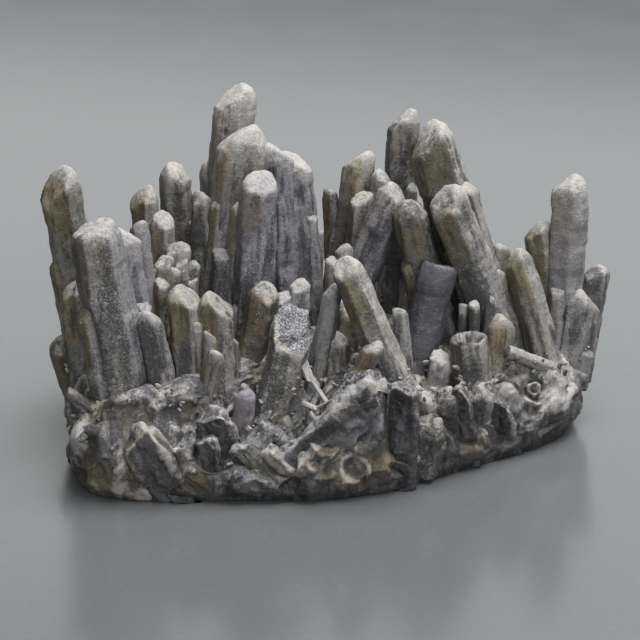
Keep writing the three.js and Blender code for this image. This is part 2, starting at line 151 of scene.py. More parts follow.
def faceted(points, size, tilt, step, ridge, seed):
    """Height of flat tilted facets with raised borders: each cell has its own height and its
    own slope, fading out towards the border, where a low ridge stands."""
    border, chance, way = grains(points, size, seed)[1:]
    cell = np.round(chance[:, None] * 1e6).repeat(3, 1)
    lean = np.stack([scramble(cell, seed + n) for n in (5, 6, 7)], axis=-1)
    facet = step * (chance - 0.5) * 2 + np.sum((lean - 0.5) * way, axis=-1) * 2 * tilt
    inside = ramp(border, 0, 0.22 * size)
    return facet * inside + ridge * np.exp(-((border / (0.13 * size)) ** 2)), border, chance


test_line = np.linspace(0, 50, 2000)[:, None] * np.ones(3)
print("noise runs from", noise(test_line, 1.5).min().round(2), "to", noise(test_line, 1.5).max().round(2))

# %% [markdown]
# ## From arrays to a mesh
#
# A piece is collected as arrays: points in millimetres, faces, and for each point the
# values that its colours need. Those values travel as attributes of the mesh:
#
# - `skin`: frost, stain, pale rim and broken face, each from 0 to 1; frost and stain also
#   carry painted light and shade, and on the bed the broken face carries painted shade
# - `body`: tone from dark to light, with painted light and shade in it, blue from olive to
#   violet, sparkle, which is the share of painted glints, and lilac
# - `grown`: the point in the crystal's own directions, for streaks along its length
#
# A closed grid has its last column joined to the first one, and the two open ends are
# closed with one middle point each.

# %% Mesh maker
BOX_CENTRE = np.array([2.21, 1.08, 0.0])


class Piece:
    """Collects points, faces and colour values, and makes one mesh object of them."""

    def __init__(self, name):
        self.name = name
        self.points, self.faces, self.skins, self.bodies, self.grown = [], [], [], [], []
        self.count = 0

    def add(self, points, faces, skin, body, grown):
        """Adds a closed surface. Faces are index rows of three or four."""
        self.points.append(points)
        self.faces.extend((np.asarray(block) + self.count).astype(np.int32) for block in faces)
        self.skins.append(np.broadcast_to(skin, (len(points), 4)))
        self.bodies.append(np.broadcast_to(body, (len(points), 4)))
        self.grown.append(grown)
        self.count += len(points)

    def make(self, material, smooth=True):
        """Puts the arrays into a mesh in metres, in the frame, riding on the cluster's body."""
        points = (np.concatenate(self.points) - BOX_CENTRE) * MM
        loops = np.concatenate([block.ravel() for block in self.faces])
        sizes = np.concatenate([np.full(len(block), block.shape[1]) for block in self.faces])
        mesh = bpy.data.meshes.new(self.name)
        mesh.vertices.add(len(points))
        mesh.vertices.foreach_set("co", points.astype(np.float32).ravel())
        mesh.loops.add(len(loops))
        mesh.loops.foreach_set("vertex_index", loops.astype(np.int32))
        mesh.polygons.add(len(sizes))
        starts = np.concatenate([[0], np.cumsum(sizes)[:-1]])
        mesh.polygons.foreach_set("loop_start", starts.astype(np.int32))
        mesh.polygons.foreach_set("use_smooth", np.full(len(sizes), smooth))
        mesh.update(calc_edges=True)
        for name, kind, field, rows in (
            ("skin", "FLOAT_COLOR", "color", self.skins),
            ("body", "FLOAT_COLOR", "color", self.bodies),
            ("grown", "FLOAT_VECTOR", "vector", self.grown),
        ):
            attribute = mesh.attributes.new(name, kind, "POINT")
            attribute.data.foreach_set(field, np.concatenate(rows).astype(np.float32).ravel())
        mesh.materials.append(material)
        made = bpy.data.objects.new(self.name, mesh)
        bpy.context.scene.collection.objects.link(made)
        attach(made, BODY)
        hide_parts(NODE)
        print(self.name, "has", int((sizes - 2).sum()), "triangles")


def closed_grid(rows, columns):
    """Faces of a grid of rows around an axis, with a first and a last middle point added."""
    here = np.arange(columns)
    beside = (here + 1) % columns
    low = 1 + columns * np.arange(rows - 1)[:, None]
    quads = np.stack([low + here, low + beside, low + columns + beside, low + columns + here], axis=-1)
    top = 1 + columns * (rows - 1)
    start_fan = np.stack([np.zeros_like(here), 1 + beside, 1 + here], axis=-1)
    end_fan = np.stack([top + here, top + beside, np.full_like(here, top + columns)], axis=-1)
    return [quads.reshape(-1, 4), start_fan, end_fan]


print("a grid of 4 by 6 has", sum(len(block) for block in closed_grid(4, 6)), "faces")

# %% [markdown]
# ## Colours by sums
#
# A material is a graph of nodes, but it is easier to read as sums. A small class wraps
# one output of a node, so that `1 - frost * 0.5` adds the two Math nodes that it needs.
# Every other node comes from one method, which sets the node's settings first and then
# its sockets. Colours are mixed with Mix nodes, because a Math node would turn them grey.

# %% Wires and shaders
class Wire:
    """One output of a node. Arithmetic on it adds Math nodes."""

    def __init__(self, shader, socket):
        self.shader, self.socket = shader, socket

    def math(self, operation, *values, clamp=False):
        sockets = dict(enumerate(values))
        return self.shader.node("ShaderNodeMath", {"operation": operation, "use_clamp": clamp}, sockets)

    def __add__(self, other):
        return self.math("ADD", self, other)

    def __sub__(self, other):
        return self.math("SUBTRACT", self, other)

    def __rsub__(self, other):
        return self.math("SUBTRACT", other, self)

    def __mul__(self, other):
        return self.math("MULTIPLY", self, other)

    __radd__ = __add__
    __rmul__ = __mul__

    def between(self, low, high):
        """0 below low, 1 above high, and a smooth step in between."""
        settings = {"interpolation_type": "SMOOTHSTEP"}
        return self.shader.node("ShaderNodeMapRange", settings, {0: self, 1: low, 2: high, 3: 0, 4: 1})

    def clamped(self):
        return self.math("ADD", self, 0, clamp=True)


class Shader:
    """A material under construction."""

    def __init__(self, name):
        self.material = bpy.data.materials.new(name)
        self.material.use_nodes = True
        self.tree = self.material.node_tree
        self.tree.nodes.clear()

    def node(self, kind, settings=None, sockets=None, output=0):
        """Adds a node: its settings first, then the values or links of its sockets."""
        made = self.tree.nodes.new(kind)
        for name, value in (settings or {}).items():
            setattr(made, name, value)
        for socket, value in (sockets or {}).items():
            if isinstance(value, Wire):
                self.tree.links.new(value.socket, made.inputs[socket])
            else:
                made.inputs[socket].default_value = value
        return Wire(self, made.outputs[output]) if made.outputs else None

    def blend(self, share, first, second):
        """Mixes two colours. Each is a wire or three numbers."""
        first, second = (c if isinstance(c, Wire) else (*c, 1) for c in (first, second))
        settings = {"data_type": "RGBA", "blend_type": "MIX"}
        return self.node("ShaderNodeMix", settings, {0: share, 6: first, 7: second}, output=2)

    def tinted(self, color, tint):
        """Multiplies two colours."""
        tint = tint if isinstance(tint, Wire) else (*tint, 1)
        settings = {"data_type": "RGBA", "blend_type": "MULTIPLY"}
        return self.node("ShaderNodeMix", settings, {0: 1.0, 6: color, 7: tint}, output=2)

    def parts(self, attribute):
        """The four values of a colour attribute."""
        wire = self.node("ShaderNodeAttribute", {"attribute_name": attribute})
        alpha = Wire(self, wire.socket.node.outputs["Alpha"])
        split = self.node("ShaderNodeSeparateColor", sockets={0: wire}).socket.node
        return [Wire(self, split.outputs[index]) for index in range(3)] + [alpha]

    def noise(self, place, size, detail=2, roughness=0.55):
        """Noise from 0 to 1 with lumps of this size, in the place's own unit."""
        sockets = {"Vector": place, "Scale": 1 / size, "Detail": detail, "Roughness": roughness}
        return self.node("ShaderNodeTexNoise", sockets=sockets)

    def finish(self, base, roughness, height, bump_distance, specular=0.5, bump_strength=1.0):
        """Closes the material with a Principled shader and a bump."""
        sockets = {"Height": height, "Distance": bump_distance, "Strength": bump_strength}
        normal = self.node("ShaderNodeBump", sockets=sockets)
        sockets = {"Base Color": base, "Roughness": roughness, "Normal": normal}
        sockets["Specular IOR Level"] = specular
        surface = self.node("ShaderNodeBsdfPrincipled", sockets=sockets)
        self.node("ShaderNodeOutputMaterial", sockets={"Surface": surface})
        print("material", self.material.name, "has", len(self.tree.nodes), "nodes")
        return self.material


# %% [markdown]
# ## The finish of frosted smoky quartz
#
# Close up, the crystals are not glassy. Their faces are etched to a fine frost full of
# sparkling points, darkest and bluest where the smoky body shows through, olive brown in
# a band under the cap, and creamy white on the cap itself, where a later skin of quartz
# settled. Edges are frosted paler than the faces. Where a crystal is snapped, the break
# is dark and glossy with a pale rim.
#
# One material does all of it, because the attributes say where each of these goes. The
# noises read the `grown` place, so streaks and growth lines follow each crystal.

# %% Values and noises of the quartz
class Quartz(Shader):
    """The material with what all of its steps use: the mesh's values, and noises in millimetres."""

    def __init__(self, name):
        super().__init__(name)
        self.frost, self.stain, self.rim, self.broken = self.parts("skin")
        self.tone, self.blue, self.sparkle, self.lilac = self.parts("body")
        self.place = self.node("ShaderNodeAttribute", {"attribute_name": "grown"}, output="Vector")
        streaky = self.node("ShaderNodeMapping", sockets={0: self.place, "Scale": (1, 1, 0.22)})
        lined = self.node("ShaderNodeMapping", sockets={0: self.place, "Scale": (0.12, 0.12, 1)})
        self.patches = self.noise(streaky, 4.2, 2, 0.5)
        self.clouds = self.noise(streaky, 1.7, 4, 0.6)
        self.mottle = self.noise(self.place, 0.62, 4, 0.65)
        self.dust = self.noise(self.place, 0.2, 2, 0.5)
        self.silver = self.noise(self.place, 0.30, 3, 0.7)
        self.growth_lines = self.noise(lined, 0.42, 2, 0.5)
        self.uneven = (self.mottle - 0.5) * 1.3 + (self.dust - 0.5) * 0.5

    def cells(self, size):
        """Distance to the middle of a cell of this size, and the cell's random number."""
        sockets = {"Vector": self.place, "Scale": 1 / size}
        cell = self.node("ShaderNodeTexVoronoi", {"feature": "F1"}, sockets).socket.node.outputs
        chance = self.node("ShaderNodeSeparateColor", sockets={0: Wire(self, cell["Color"])})
        return Wire(self, cell["Distance"]), chance

    def uneven_blend(self, dark, light, contrast=1.0, bias=0.5):
        """Two colours in grains: the darker one in the pits, the lighter one on the dust."""
        share = self.uneven * contrast if contrast != 1.0 else self.uneven
        return self.blend((share + bias).clamped(), dark, light)

    def tell(self, step):
        """Prints how many nodes there are after a step."""
        print("with", step, "the quartz has", len(self.tree.nodes), "nodes")


quartz_shader = Quartz("frosted_smoky_quartz")
quartz_shader.tell("its values and noises")

# %% [markdown]
# ### Points of light
#
# A frosted face glitters because tiny flat spots in it happen to face the lamp. Real
# mirrors that small would only flicker, so each glint is painted instead: the middle of a
# cell, picked by the cell's random number, where the crystal is one of the sparkling ones.

# %% Points of light
def sparkles(q):
    """Painted highlights of a sparkling face: glints, silver blotches and dust; and its small dark pits."""
    distance, chance = q.cells(0.36)
    near = 1 - distance.between(0.05, 0.5)
    glittering = (q.sparkle + (q.patches - 0.5) * 2.2 + (q.clouds - 0.5) * 1.2).clamped()
    glint = near * chance.between(0.84, 0.97) * glittering
    pit = near * (1 - chance.between(0.1, 0.2)) * (0.3 + q.sparkle * 0.5) * (1 - q.lilac)
    distance, chance = q.cells(1.3)
    blotch = 1 - (distance + q.uneven * 0.25).between(0.14, 0.4)
    blotch = blotch * chance.between(0.72, 0.9) * glittering
    return glint, blotch, q.silver.between(0.5, 0.66) * glittering * 0.65, pit


glint, blotch, painted_sparkle_share, pit = sparkles(quartz_shader)
quartz_shader.tell("points of light")

# %% [markdown]
# ### Colour in layers
#
# The layers go over each other in the order in which they came: the smoky body, brown
# iron stain, the late skin of frost, and last the breaks with their rims. Each layer is a
# colour and a share. Noise makes the share ragged, because a plain mix looks airbrushed.

# %% Body colour
def body_colour(q, painted_sparkle_share, blotch):
    """The dark body, and over it a veil of frost: thicker on edges, near the cap and in patches."""
    veil = (q.patches - 0.5) * 2.4 + (q.clouds - 0.5) * 3.6 + q.uneven * 0.9 + (q.tone - 0.45) * 1.7
    veil = (veil + q.rim * 0.75 + q.frost * 0.8 + 0.36).between(0.0, 1.0)
    core = q.uneven_blend((0.026, 0.026, 0.031), (0.125, 0.124, 0.134))
    skin = q.uneven_blend((0.165, 0.165, 0.169), (0.37, 0.366, 0.363))
    color = q.blend(veil, core, skin)
    # Painted highlights: silver dust and blotches lighten the body where it sparkles
    color = q.blend(painted_sparkle_share, color, (0.40, 0.40, 0.41))
    color = q.blend(blotch * 0.6, color, (0.46, 0.46, 0.47))
    color = q.tinted(color, q.blend(q.blue, (1.04, 1.0, 0.86), (0.99, 0.965, 1.06)))
    return q.blend(q.lilac, color, q.blend(q.clouds, (0.27, 0.255, 0.285), (0.36, 0.345, 0.37)))


color = body_colour(quartz_shader, painted_sparkle_share, blotch)
quartz_shader.tell("the smoky body")


# %% Stain and frost
def stained(q, color):
    """Ochre over the colour, and deep brown in the middle of a strong stain."""
    share = (q.stain * 1.5 + (q.patches - 0.5) * 1.4 + q.uneven * 0.6 - 0.5).between(0.0, 0.7)
    share = share * q.stain.between(0.02, 0.3)
    deep = (q.stain * 0.9 + (q.clouds - 0.5) * 4.5 + q.uneven * 1.4 - 0.45).between(0.0, 0.9)
    ochre = q.tinted(color, (1.28, 1.10, 0.76))
    ochre = q.blend(0.5, ochre, q.uneven_blend((0.12, 0.10, 0.062), (0.35, 0.30, 0.205)))
    return q.blend(share, color, q.blend(deep * 0.85, ochre, (0.052, 0.041, 0.026)))


def frosted(q, color):
    """Cream over the colour, rosy in patches. Returns how much of it there is, too."""
    share = (q.frost * 1.2 + (q.clouds - 0.5) * 1.6 + q.uneven * 0.75 - 0.25).between(0.0, 0.95)
    share = share * q.frost.between(0.0, 0.2)
    cream = q.uneven_blend((0.26, 0.248, 0.232), (0.585, 0.568, 0.545), 1.1, 0.55)
    cream = q.blend((q.patches - 0.48).between(0, 0.3) * 0.6, cream, (0.48, 0.395, 0.34))
    return q.blend(share, color, cream), share


color, frost_share = frosted(quartz_shader, stained(quartz_shader, color))
quartz_shader.tell("stain and frost")


# %% Breaks and their rims
def snapped_over(q, color, painted_sparkle_share):
    """A break: dark and mottled, with frosted, brown and violet patches."""
    cloudy = (q.clouds - 0.5) * 2.2 + (q.patches - 0.5) * 1.5 + q.uneven * 1.1
    share = (cloudy + 0.42 + q.tone * 0.3).clamped()
    inside = q.blend(share, (0.024, 0.023, 0.027), (0.165, 0.16, 0.168))
    rusty = (0.5 - q.patches + (q.mottle - 0.5) * 0.8).between(0.06, 0.3)
    rusty = rusty * (0.25 + q.stain * 0.75).clamped()
    brown = q.blend(q.clouds, (0.045, 0.030, 0.018), (0.19, 0.145, 0.085))
    inside = q.blend(rusty * 0.8, inside, brown)
    # Painted highlights on the break: silver dust and glitter
    inside = q.blend(painted_sparkle_share * 0.7, inside, (0.34, 0.34, 0.35))
    glitter = q.silver.between(0.49, 0.62) * q.sparkle.between(0.7, 0.95)
    inside = q.blend(glitter * 0.9, inside, (0.50, 0.495, 0.53))
    share = (q.broken * 1.6 - 0.3 + (q.mottle - 0.5) * 0.7).clamped()
    return q.blend(share, color, inside), share


def rimmed(q, color):
    """The pale crust on edges and around breaks."""
    share = (q.rim * 1.25 + q.uneven * 0.6 + (q.clouds - 0.5) * 0.7).between(0.25, 0.95) * 0.92
    share = share * q.rim.between(0.03, 0.25)
    crust = q.uneven_blend((0.27, 0.25, 0.22), (0.68, 0.645, 0.60), 1.2)
    crust = q.blend((q.patches - 0.5).between(0, 0.25) * 0.7, crust, (0.46, 0.37, 0.31))
    return q.blend(share, color, crust), share


color, broken_share = snapped_over(quartz_shader, color, painted_sparkle_share)
color, edge_share = rimmed(quartz_shader, color)
quartz_shader.tell("breaks and rims")


# %% Frosted quartz material
def finished_quartz(q, color):
    """Pits and glints over all, then the roughness and the finest relief."""
    color = q.blend(pit * (1 - broken_share), color, (0.03, 0.028, 0.028))
    color = q.blend(glint * 0.8, color, (0.72, 0.72, 0.74))
    roughness = 0.50 + frost_share * 0.22 - glint * 0.3 - broken_share * 0.12 + edge_share * 0.15
    height = q.mottle * 0.9 + q.dust * 0.5 + glint * 0.8 - pit * 0.5 + q.growth_lines * 0.25
    return q.finish(color, roughness, height, 0.00025, bump_strength=0.8)


quartz = finished_quartz(quartz_shader, color)

# %% [markdown]
# ## One crystal
#
# A quartz crystal is the space inside a handful of planes: six around the prism, up to
# six that close the cap, and often one cap face that outgrew the rest. Planes alone give
# knife edges, but these crystals are rounded by frost. So the surface is found with
# rays instead: from points on the crystal's axis, and near the tip from one fixed point,
# rays go out to every side and stop at the nearest plane. Blending the nearest two with
# a high power mean rounds the edge between them, and how close they come to each other
# tells where the pale rim goes.

# %% Directions and planes
SIDE, CAP, BREAK = 0, 1, 2
ROOT_LEVEL = 5.0
CAP_TILT = 55
BLUNTNESS = 0.2
FACE_WOBBLE = 0.1
TURN_WOBBLE = 7
SLIM = 4.3
FLATNESS = 0.94

# What a crystal is like where its row doesn't say otherwise. An outgrown cap face and a break
# have an azimuth, a tilt and a drop below the tip; a split has a distance from the axis instead.
PLAIN = {"main": None, "broken": None, "split": None}
# Radius and depth of a hollow end, taper of the sides in degrees, level where the skin starts
PLAIN |= {"hollow": None, "narrow": 0.5, "start": 8.0}
# Strength and width of a break's pale rim, sharpness of the edges, strength of the relief
PLAIN |= {"rim": 0.45, "rim_width": 0.8, "edge": 18, "rough": 1.0}
# Share of lilac, strength of the frost, and whether the foot stays bare of small points
PLAIN |= {"lilac": 0.0, "cream": 1.0, "bare": False}


def crystal(tip, foot, width, roll, look, **more):
    """A crystal's sizes. Look is tone, blue, frost length in mm, stain and sparkle."""
    foot = np.array([*foot, ROOT_LEVEL][:3], float)
    sizes = {"tip": np.array(tip, float), "foot": foot, "width": width, "depth": FLATNESS * width}
    return sizes | {"roll": roll, "look": look} | PLAIN | more


def directions(c):
    """Three rows: across to the right, across to the back, and along the axis."""
    along = c["tip"] - c["foot"]
    along = along / np.linalg.norm(along)
    right = np.array([1.0, 0, 0]) - along[0] * along
    right = right / np.linalg.norm(right)
    return np.stack([right, np.cross(along, right), along])


def chisel(c):
    """The outgrown cap face of a crystal that states none: azimuth, tilt, and drop below the tip."""
    key = c["tip"][0] + 2 * c["tip"][2]
    return 180 * wobble(key, 40), 38 + 8 * wobble(key, 41), 0.2 * c["width"]


def planes(c):
    """The crystal's planes in its own directions, from the tip. Rows: normal, reach and kind.

    A side plane looks out at roll + 60 degrees times its number and stands half a width from
    the axis. A cap plane is tilted by about 55 degrees. The main or broken plane crosses the
    axis a little below the tip, the next one blunts the tip, and a split plane cuts along it."""
    key = c["tip"][0] + 2 * c["tip"][2]
    half_length = np.linalg.norm(c["tip"] - c["foot"]) / 2
    rows = []

    def add(azimuth, tilt, height, offset, kind):
        azimuth, tilt = np.radians(azimuth), np.radians(tilt)
        normal = [np.cos(azimuth) * np.sin(tilt), np.sin(azimuth) * np.sin(tilt), np.cos(tilt)]
        rows.append([*normal, normal[2] * height + offset, kind])

    cap_step = 2 if c["width"] < SLIM else 1
    for side in range(6):
        azimuth = c["roll"] + 60 * side + TURN_WOBBLE * wobble(key, side)
        turn = np.radians(azimuth)
        across = np.hypot(c["width"] / 2 * np.cos(turn), c["depth"] / 2 * np.sin(turn))
        offset = across * (1 + FACE_WOBBLE * wobble(key, side + 10))
        add(azimuth, 90 - c["narrow"], -half_length, offset, SIDE)
        if not c["broken"] and side % cap_step == 0:
            stand_off = c["width"] * BLUNTNESS * (1 + 0.5 * wobble(key, side + 30))
            add(azimuth, CAP_TILT + 5 * wobble(key, side + 20), 0, stand_off, CAP)
    azimuth, tilt, drop = c["broken"] or c["main"] or chisel(c)
    add(azimuth, tilt, -drop, 0, BREAK if c["broken"] else CAP)
    add(0, 0, 0, 0, BREAK if c["broken"] else CAP)
    if c["split"]:
        azimuth, tilt, stand_off = c["split"]
        add(azimuth, tilt, -half_length, stand_off, BREAK)
    return np.array(rows)


plain_crystal = crystal((0, 0, 40), (0, 0), 6, 0, (0.5, 0.4, 4.0, 0.5, 0.5))
print("a plain crystal has", len(planes(plain_crystal)), "planes")


# %% Rays of a crystal
# How far below the tip the level rays end, and by how much more below the top of a cap face,
# as shares of the width
NECK, NECK_BELOW_FACE = 0.75, 0.25
STEEPEST_LEAN = 0.3


def level_range(c):
    """Lowest and highest level rays, along the axis from the tip. The lowest ones are where the
    crystal dips into the bed, but not below its foot."""
    drop = (c["broken"] or c["main"] or chisel(c))[2]
    neck = max(NECK * c["width"], drop + NECK_BELOW_FACE * c["width"])
    bottom = -np.linalg.norm(c["tip"] - c["foot"])
    upright = directions(c)[2][2]
    if upright > STEEPEST_LEAN:
        bottom = max(bottom, (c["start"] - c["tip"][2]) / upright)
    return bottom, -neck


def crystal_rays(c, cell):
    """Start and direction of each ray, and how many rows and columns they form.

    Side rows: from (0, 0, z) on the axis, level rays to azimuth a. Cap rows: from one point
    below the tip, rays to azimuth a and elevation e from 0 to 90 degrees."""
    bottom, top = level_range(c)
    bottom = min(bottom, top - cell)
    columns = max(18, int(3.0 * c["width"] / cell))
    side_rows = max(2, int((top - bottom) / cell))
    cap_rows = max(8, int(-1.25 * top / cell))
    azimuth = np.linspace(0, 2 * np.pi, columns, endpoint=False)
    elevation = np.linspace(0, np.pi / 2, cap_rows + 1)[1:-1]
    height = np.concatenate([np.linspace(bottom, top, side_rows + 1), np.full(len(elevation), top)])
    lift = np.concatenate([np.zeros(side_rows + 1), elevation])
    east, north = (np.cos(lift)[:, None] * turned for turned in (np.cos(azimuth), np.sin(azimuth)))
    ray = np.stack([east, north, np.repeat(np.sin(lift)[:, None], columns, axis=1)], axis=-1)
    ray = np.concatenate([ray.reshape(-1, 3), [[0, 0, 1.0]]])
    start = np.zeros_like(ray)
    start[:, 2] = np.append(np.repeat(height, columns), top)
    return start, ray, len(height), columns


print("a plain crystal has", len(crystal_rays(plain_crystal, 0.5)[1]), "rays")


# %% Surface of a crystal
SOFT_EDGE = 0.55
EDGE_FADE = 0.8
CAP_SOFTER = 0.45
NO_HIT = 1e3
LEAST_FACING = 1e-3


def crystal_surface(c, cell):
    """Points of a crystal's skin and what the rays met there.

    A ray's length is the power mean of its distances to the planes, (sum d^-p)^(-1/p), close
    to the smallest. A lower p rounds the edges more."""
    rows, axes = planes(c), directions(c)
    start, ray, row_count, columns = crystal_rays(c, cell)
    facing = ray @ rows[:, :3].T
    gap = rows[:, 3] - start @ rows[:, :3].T
    distance = np.where(facing > LEAST_FACING, gap / np.maximum(facing, LEAST_FACING), NO_HIT)
    order = np.sort(distance, axis=1)
    p = c["edge"] * (1 - CAP_SOFTER * np.clip(ray[:, 2:] * 2, 0, 1) * (c["broken"] is None))
    length = order[:, 0] * np.sum((order[:, :1] / distance) ** p, axis=1) ** (-1 / p[:, 0])
    points = start + length[:, None] * ray
    edge = SOFT_EDGE * np.exp(-(order[:, 1] - order[:, 0]) / EDGE_FADE)
    is_break = rows[:, 4] == BREAK
    other = np.where(is_break, NO_HIT, distance)
    beside = rows[np.argmin(other, axis=1), :3]
    into_break = np.min(other, axis=1) - np.min(np.where(is_break, distance, NO_HIT), axis=1)
    face = np.argmin(distance, axis=1)
    return {
        "points": np.concatenate([start[:1], points]),
        "ray": np.concatenate([[[0, 0, -1.0]], ray]),
        "edge": np.append(0, edge),
        "into_break": np.append(-NO_HIT, into_break),
        "beside": np.concatenate([[[0, 0, -1.0]], beside]) @ axes,
        "kind": np.append(SIDE, rows[face, 4]),
        "face": np.append(0, face),
        "normal": np.concatenate([[[0, 0, -1.0]], rows[face, :3]]) @ axes,
        "faces": closed_grid(row_count, columns),
        "axes": axes,
    }


plain_found = crystal_surface(plain_crystal, 0.5)
print("a plain crystal has", len(plain_found["points"]), "points")

# %% [markdown]
# ## Relief and colour values of a crystal
#
# The flat faces get the relief of the real ones: slow waves, shallow lumps where the
# frost is thick, flutes along the sides and low steps across them, and a fine grain. The
# same arrays decide the colour values. Frost is thickest near the tip and on faces that
# look up towards the main lamp, where it is partly a painted highlight, and it thins out
# raggedly. The stain sits in a band below it, and more of it on undersides turned away
# from the lamp, where it is partly painted shade.

# %% Frost and stain of a crystal
# Towards the main lamp and away from it: faces are painted lighter or darker by these, as light and shade
LIT_SIDE = np.array([0.45, -0.15, 0.88])
SHADED_SIDE = np.array([-0.75, -0.1, -0.65])


def crystal_veils(c, found, waves, lumps):
    """Share of frost and of stain on each point of a crystal, from 0 to 1, with painted light and shade."""
    frost_length, stain = c["look"][2:4]
    depth = -found["points"][:, 2]
    # Faces turned to the lamp (lit) get more frost, a painted highlight; faces turned from it (under) get
    # more stain, painted shade
    lit = found["normal"] @ LIT_SIDE
    ragged = 1 + 0.45 * waves + 0.3 * lumps + 0.5 * lit
    frost = 1 - ramp(depth / (frost_length * np.maximum(ragged, 0.15) + 0.01), 0.05, 2.3 - 0.9 * stain)
    frost = np.maximum(frost, 0.6 * ramp(lit + 0.35 * lumps, 0.45, 1.0)) * min(1.0, 0.25 + c["width"] / 12)
    ragged_depth = depth * (1 + 0.25 * waves)
    band = ramp(ragged_depth / (frost_length + 0.01), 0.4, 0.9)
    band *= 1 - ramp(ragged_depth, frost_length + 4, frost_length + 14)
    under = ramp(found["normal"] @ SHADED_SIDE + 0.2 * waves, -0.3, 0.6)
    stain_and_shade = band * (0.35 + 0.9 * under) + 0.3 * under * (1 - ramp(depth, 12, 26))
    return np.clip(frost * c["cream"], 0, 1), stain * np.clip(stain_and_shade, 0, 1)


plain_frost = crystal_veils(plain_crystal, plain_found, 0.0, 0.0)[0]
print("frost lies on", (plain_frost > 0.5).mean().round(2), "of a plain crystal's points")


# %% Relief of a crystal
def noise_shift(c):
    """Takes a crystal to its own part of the noise, so that no two are alike."""
    return 40 * np.array([wobble(c["tip"][axis], 61 + axis) for axis in range(3)])


def crystal_relief(c, found, grown, uneven, frost, broken):
    """Height of each point of a crystal over its flat faces, in millimetres."""
    waves, lumps, grain = uneven
    flutes = noise(grown * (1, 1, 0.16), 1.25, 5)
    pitted = grains(grown, 0.95, 4)[0]
    depth, across = -found["points"][:, 2], 37.0 * found["face"] + noise_shift(c)[0]
    steps = ramp(noise(np.stack([depth, across, 0 * depth], axis=-1), 4.5, 6), -0.15, 0.15) - 0.5
    relief = 0.20 * waves + 0.14 * lumps * (0.5 + frost) + 0.06 * grain - 0.16 * pitted * frost
    relief += 0.14 * flutes + 0.26 * steps * (found["kind"] == SIDE)
    relief *= c["rough"]
    if c["broken"] or c["split"]:
        relief += broken * 0.35 * faceted(grown, 2.4, 0.9, 0.9, 0.3, 70)[0]
    relief[0] = 0
    return relief * min(1.0, c["width"] / 5)


plain_relief = crystal_relief(plain_crystal, plain_found, plain_found["points"], (0, 0, 0), 0.0, 0.0)
print("its relief runs from", plain_relief.min().round(2), "to", plain_relief.max().round(2), "mm")


# %% Body values of a crystal
def crystal_body(c, found, waves):
    """Tone, blue, sparkle and lilac of each point of a crystal: each face is a little different."""
    tone, blue, *_, sparkle = c["look"]
    depth = -found["points"][:, 2]
    lit, shaded = found["normal"] @ LIT_SIDE, found["normal"] @ SHADED_SIDE
    uneven = wobble(c["tip"][0] + 2 * c["tip"][2], found["face"] + 40.0)
    body = np.broadcast_to([tone, blue, sparkle, c["lilac"]], (len(depth), 4)).copy()
    # Painted light and shade: the tone is lighter on faces turned to the lamp, and darker on faces turned
    # away and deeper down the crystal, where shade falls
    body[:, 0] += 0.12 * uneven + 0.2 * lit - 0.12 * np.maximum(shaded, 0) - 0.12 * ramp(depth, 10, 32)
    body[:, 1] += 0.25 * uneven
    body[:, 3] *= 1 - 0.7 * ramp(depth * (1 + 0.25 * waves), 2.5, 7)
    return np.clip(body, [-1, 0, 0, 0], 1)


plain_tones = np.ptp(crystal_body(plain_crystal, plain_found, 0.0)[:, 0])
print("and the tone of its faces differs by", plain_tones.round(2))

# %% Add a crystal to a piece
UNDERSIDE = 0.03
GROWN_SKINS = []


def add_crystal(piece, c, cell):
    """Adds a crystal to a piece, with its relief and its colour values."""
    found = crystal_surface(c, cell)
    own = found["points"]
    depth = -own[:, 2]
    grown = own + noise_shift(c)
    waves, lumps, grain = (noise(grown, size, seed) for size, seed in ((3.1, 1), (1.15, 2), (0.6, 3)))
    into_break = found["into_break"] + 0.45 * lumps + 0.25 * grain
    broken = ramp(into_break, -0.3, 0.8)
    # The frost and stain carry painted light and shade, after how each face is turned to the lamp
    frost, stain = crystal_veils(c, found, waves, lumps)
    own = own + found["ray"] * crystal_relief(c, found, grown, (waves, lumps, grain), frost, broken)[:, None]
    if c["hollow"]:
        radius, sunk = c["hollow"]
        across = np.hypot(own[:, 0], own[:, 1])
        own[:, 2] -= sunk * (1 - ramp(across, radius - 0.5, radius + 0.1)) * (depth < 0.6 * c["width"])
    points = c["tip"] + own @ found["axes"]
    points[:, 2] = np.maximum(points[:, 2], UNDERSIDE)

    looks_up = 0.15 + 0.85 * ramp(found["beside"][:, 2], -0.3, 0.35)
    crusted = np.exp(-((into_break / c["rim_width"]) ** 2)) * looks_up
    rim = c["rim"] * np.maximum(found["edge"], crusted * np.clip(0.95 + 0.5 * waves, 0, 1))
    if c["split"]:
        rim *= 1 - 0.85 * ramp(depth, 7, 20)
        stain = np.maximum(stain, broken * c["look"][3] * np.clip(0.5 + waves, 0, 1))
    skin = np.stack([frost * (1 - broken), stain, rim, broken], axis=-1)
    piece.add(points, found["faces"], skin, crystal_body(c, found, waves), grown)
    if not c["bare"]:
        GROWN_SKINS.append(np.concatenate([points, found["normal"]], axis=1))


# %% Companions and pieces
COMPANION = {"least": 6.3, "count": 2, "aside": 0.44, "lower": 0.36, "width": 0.44}


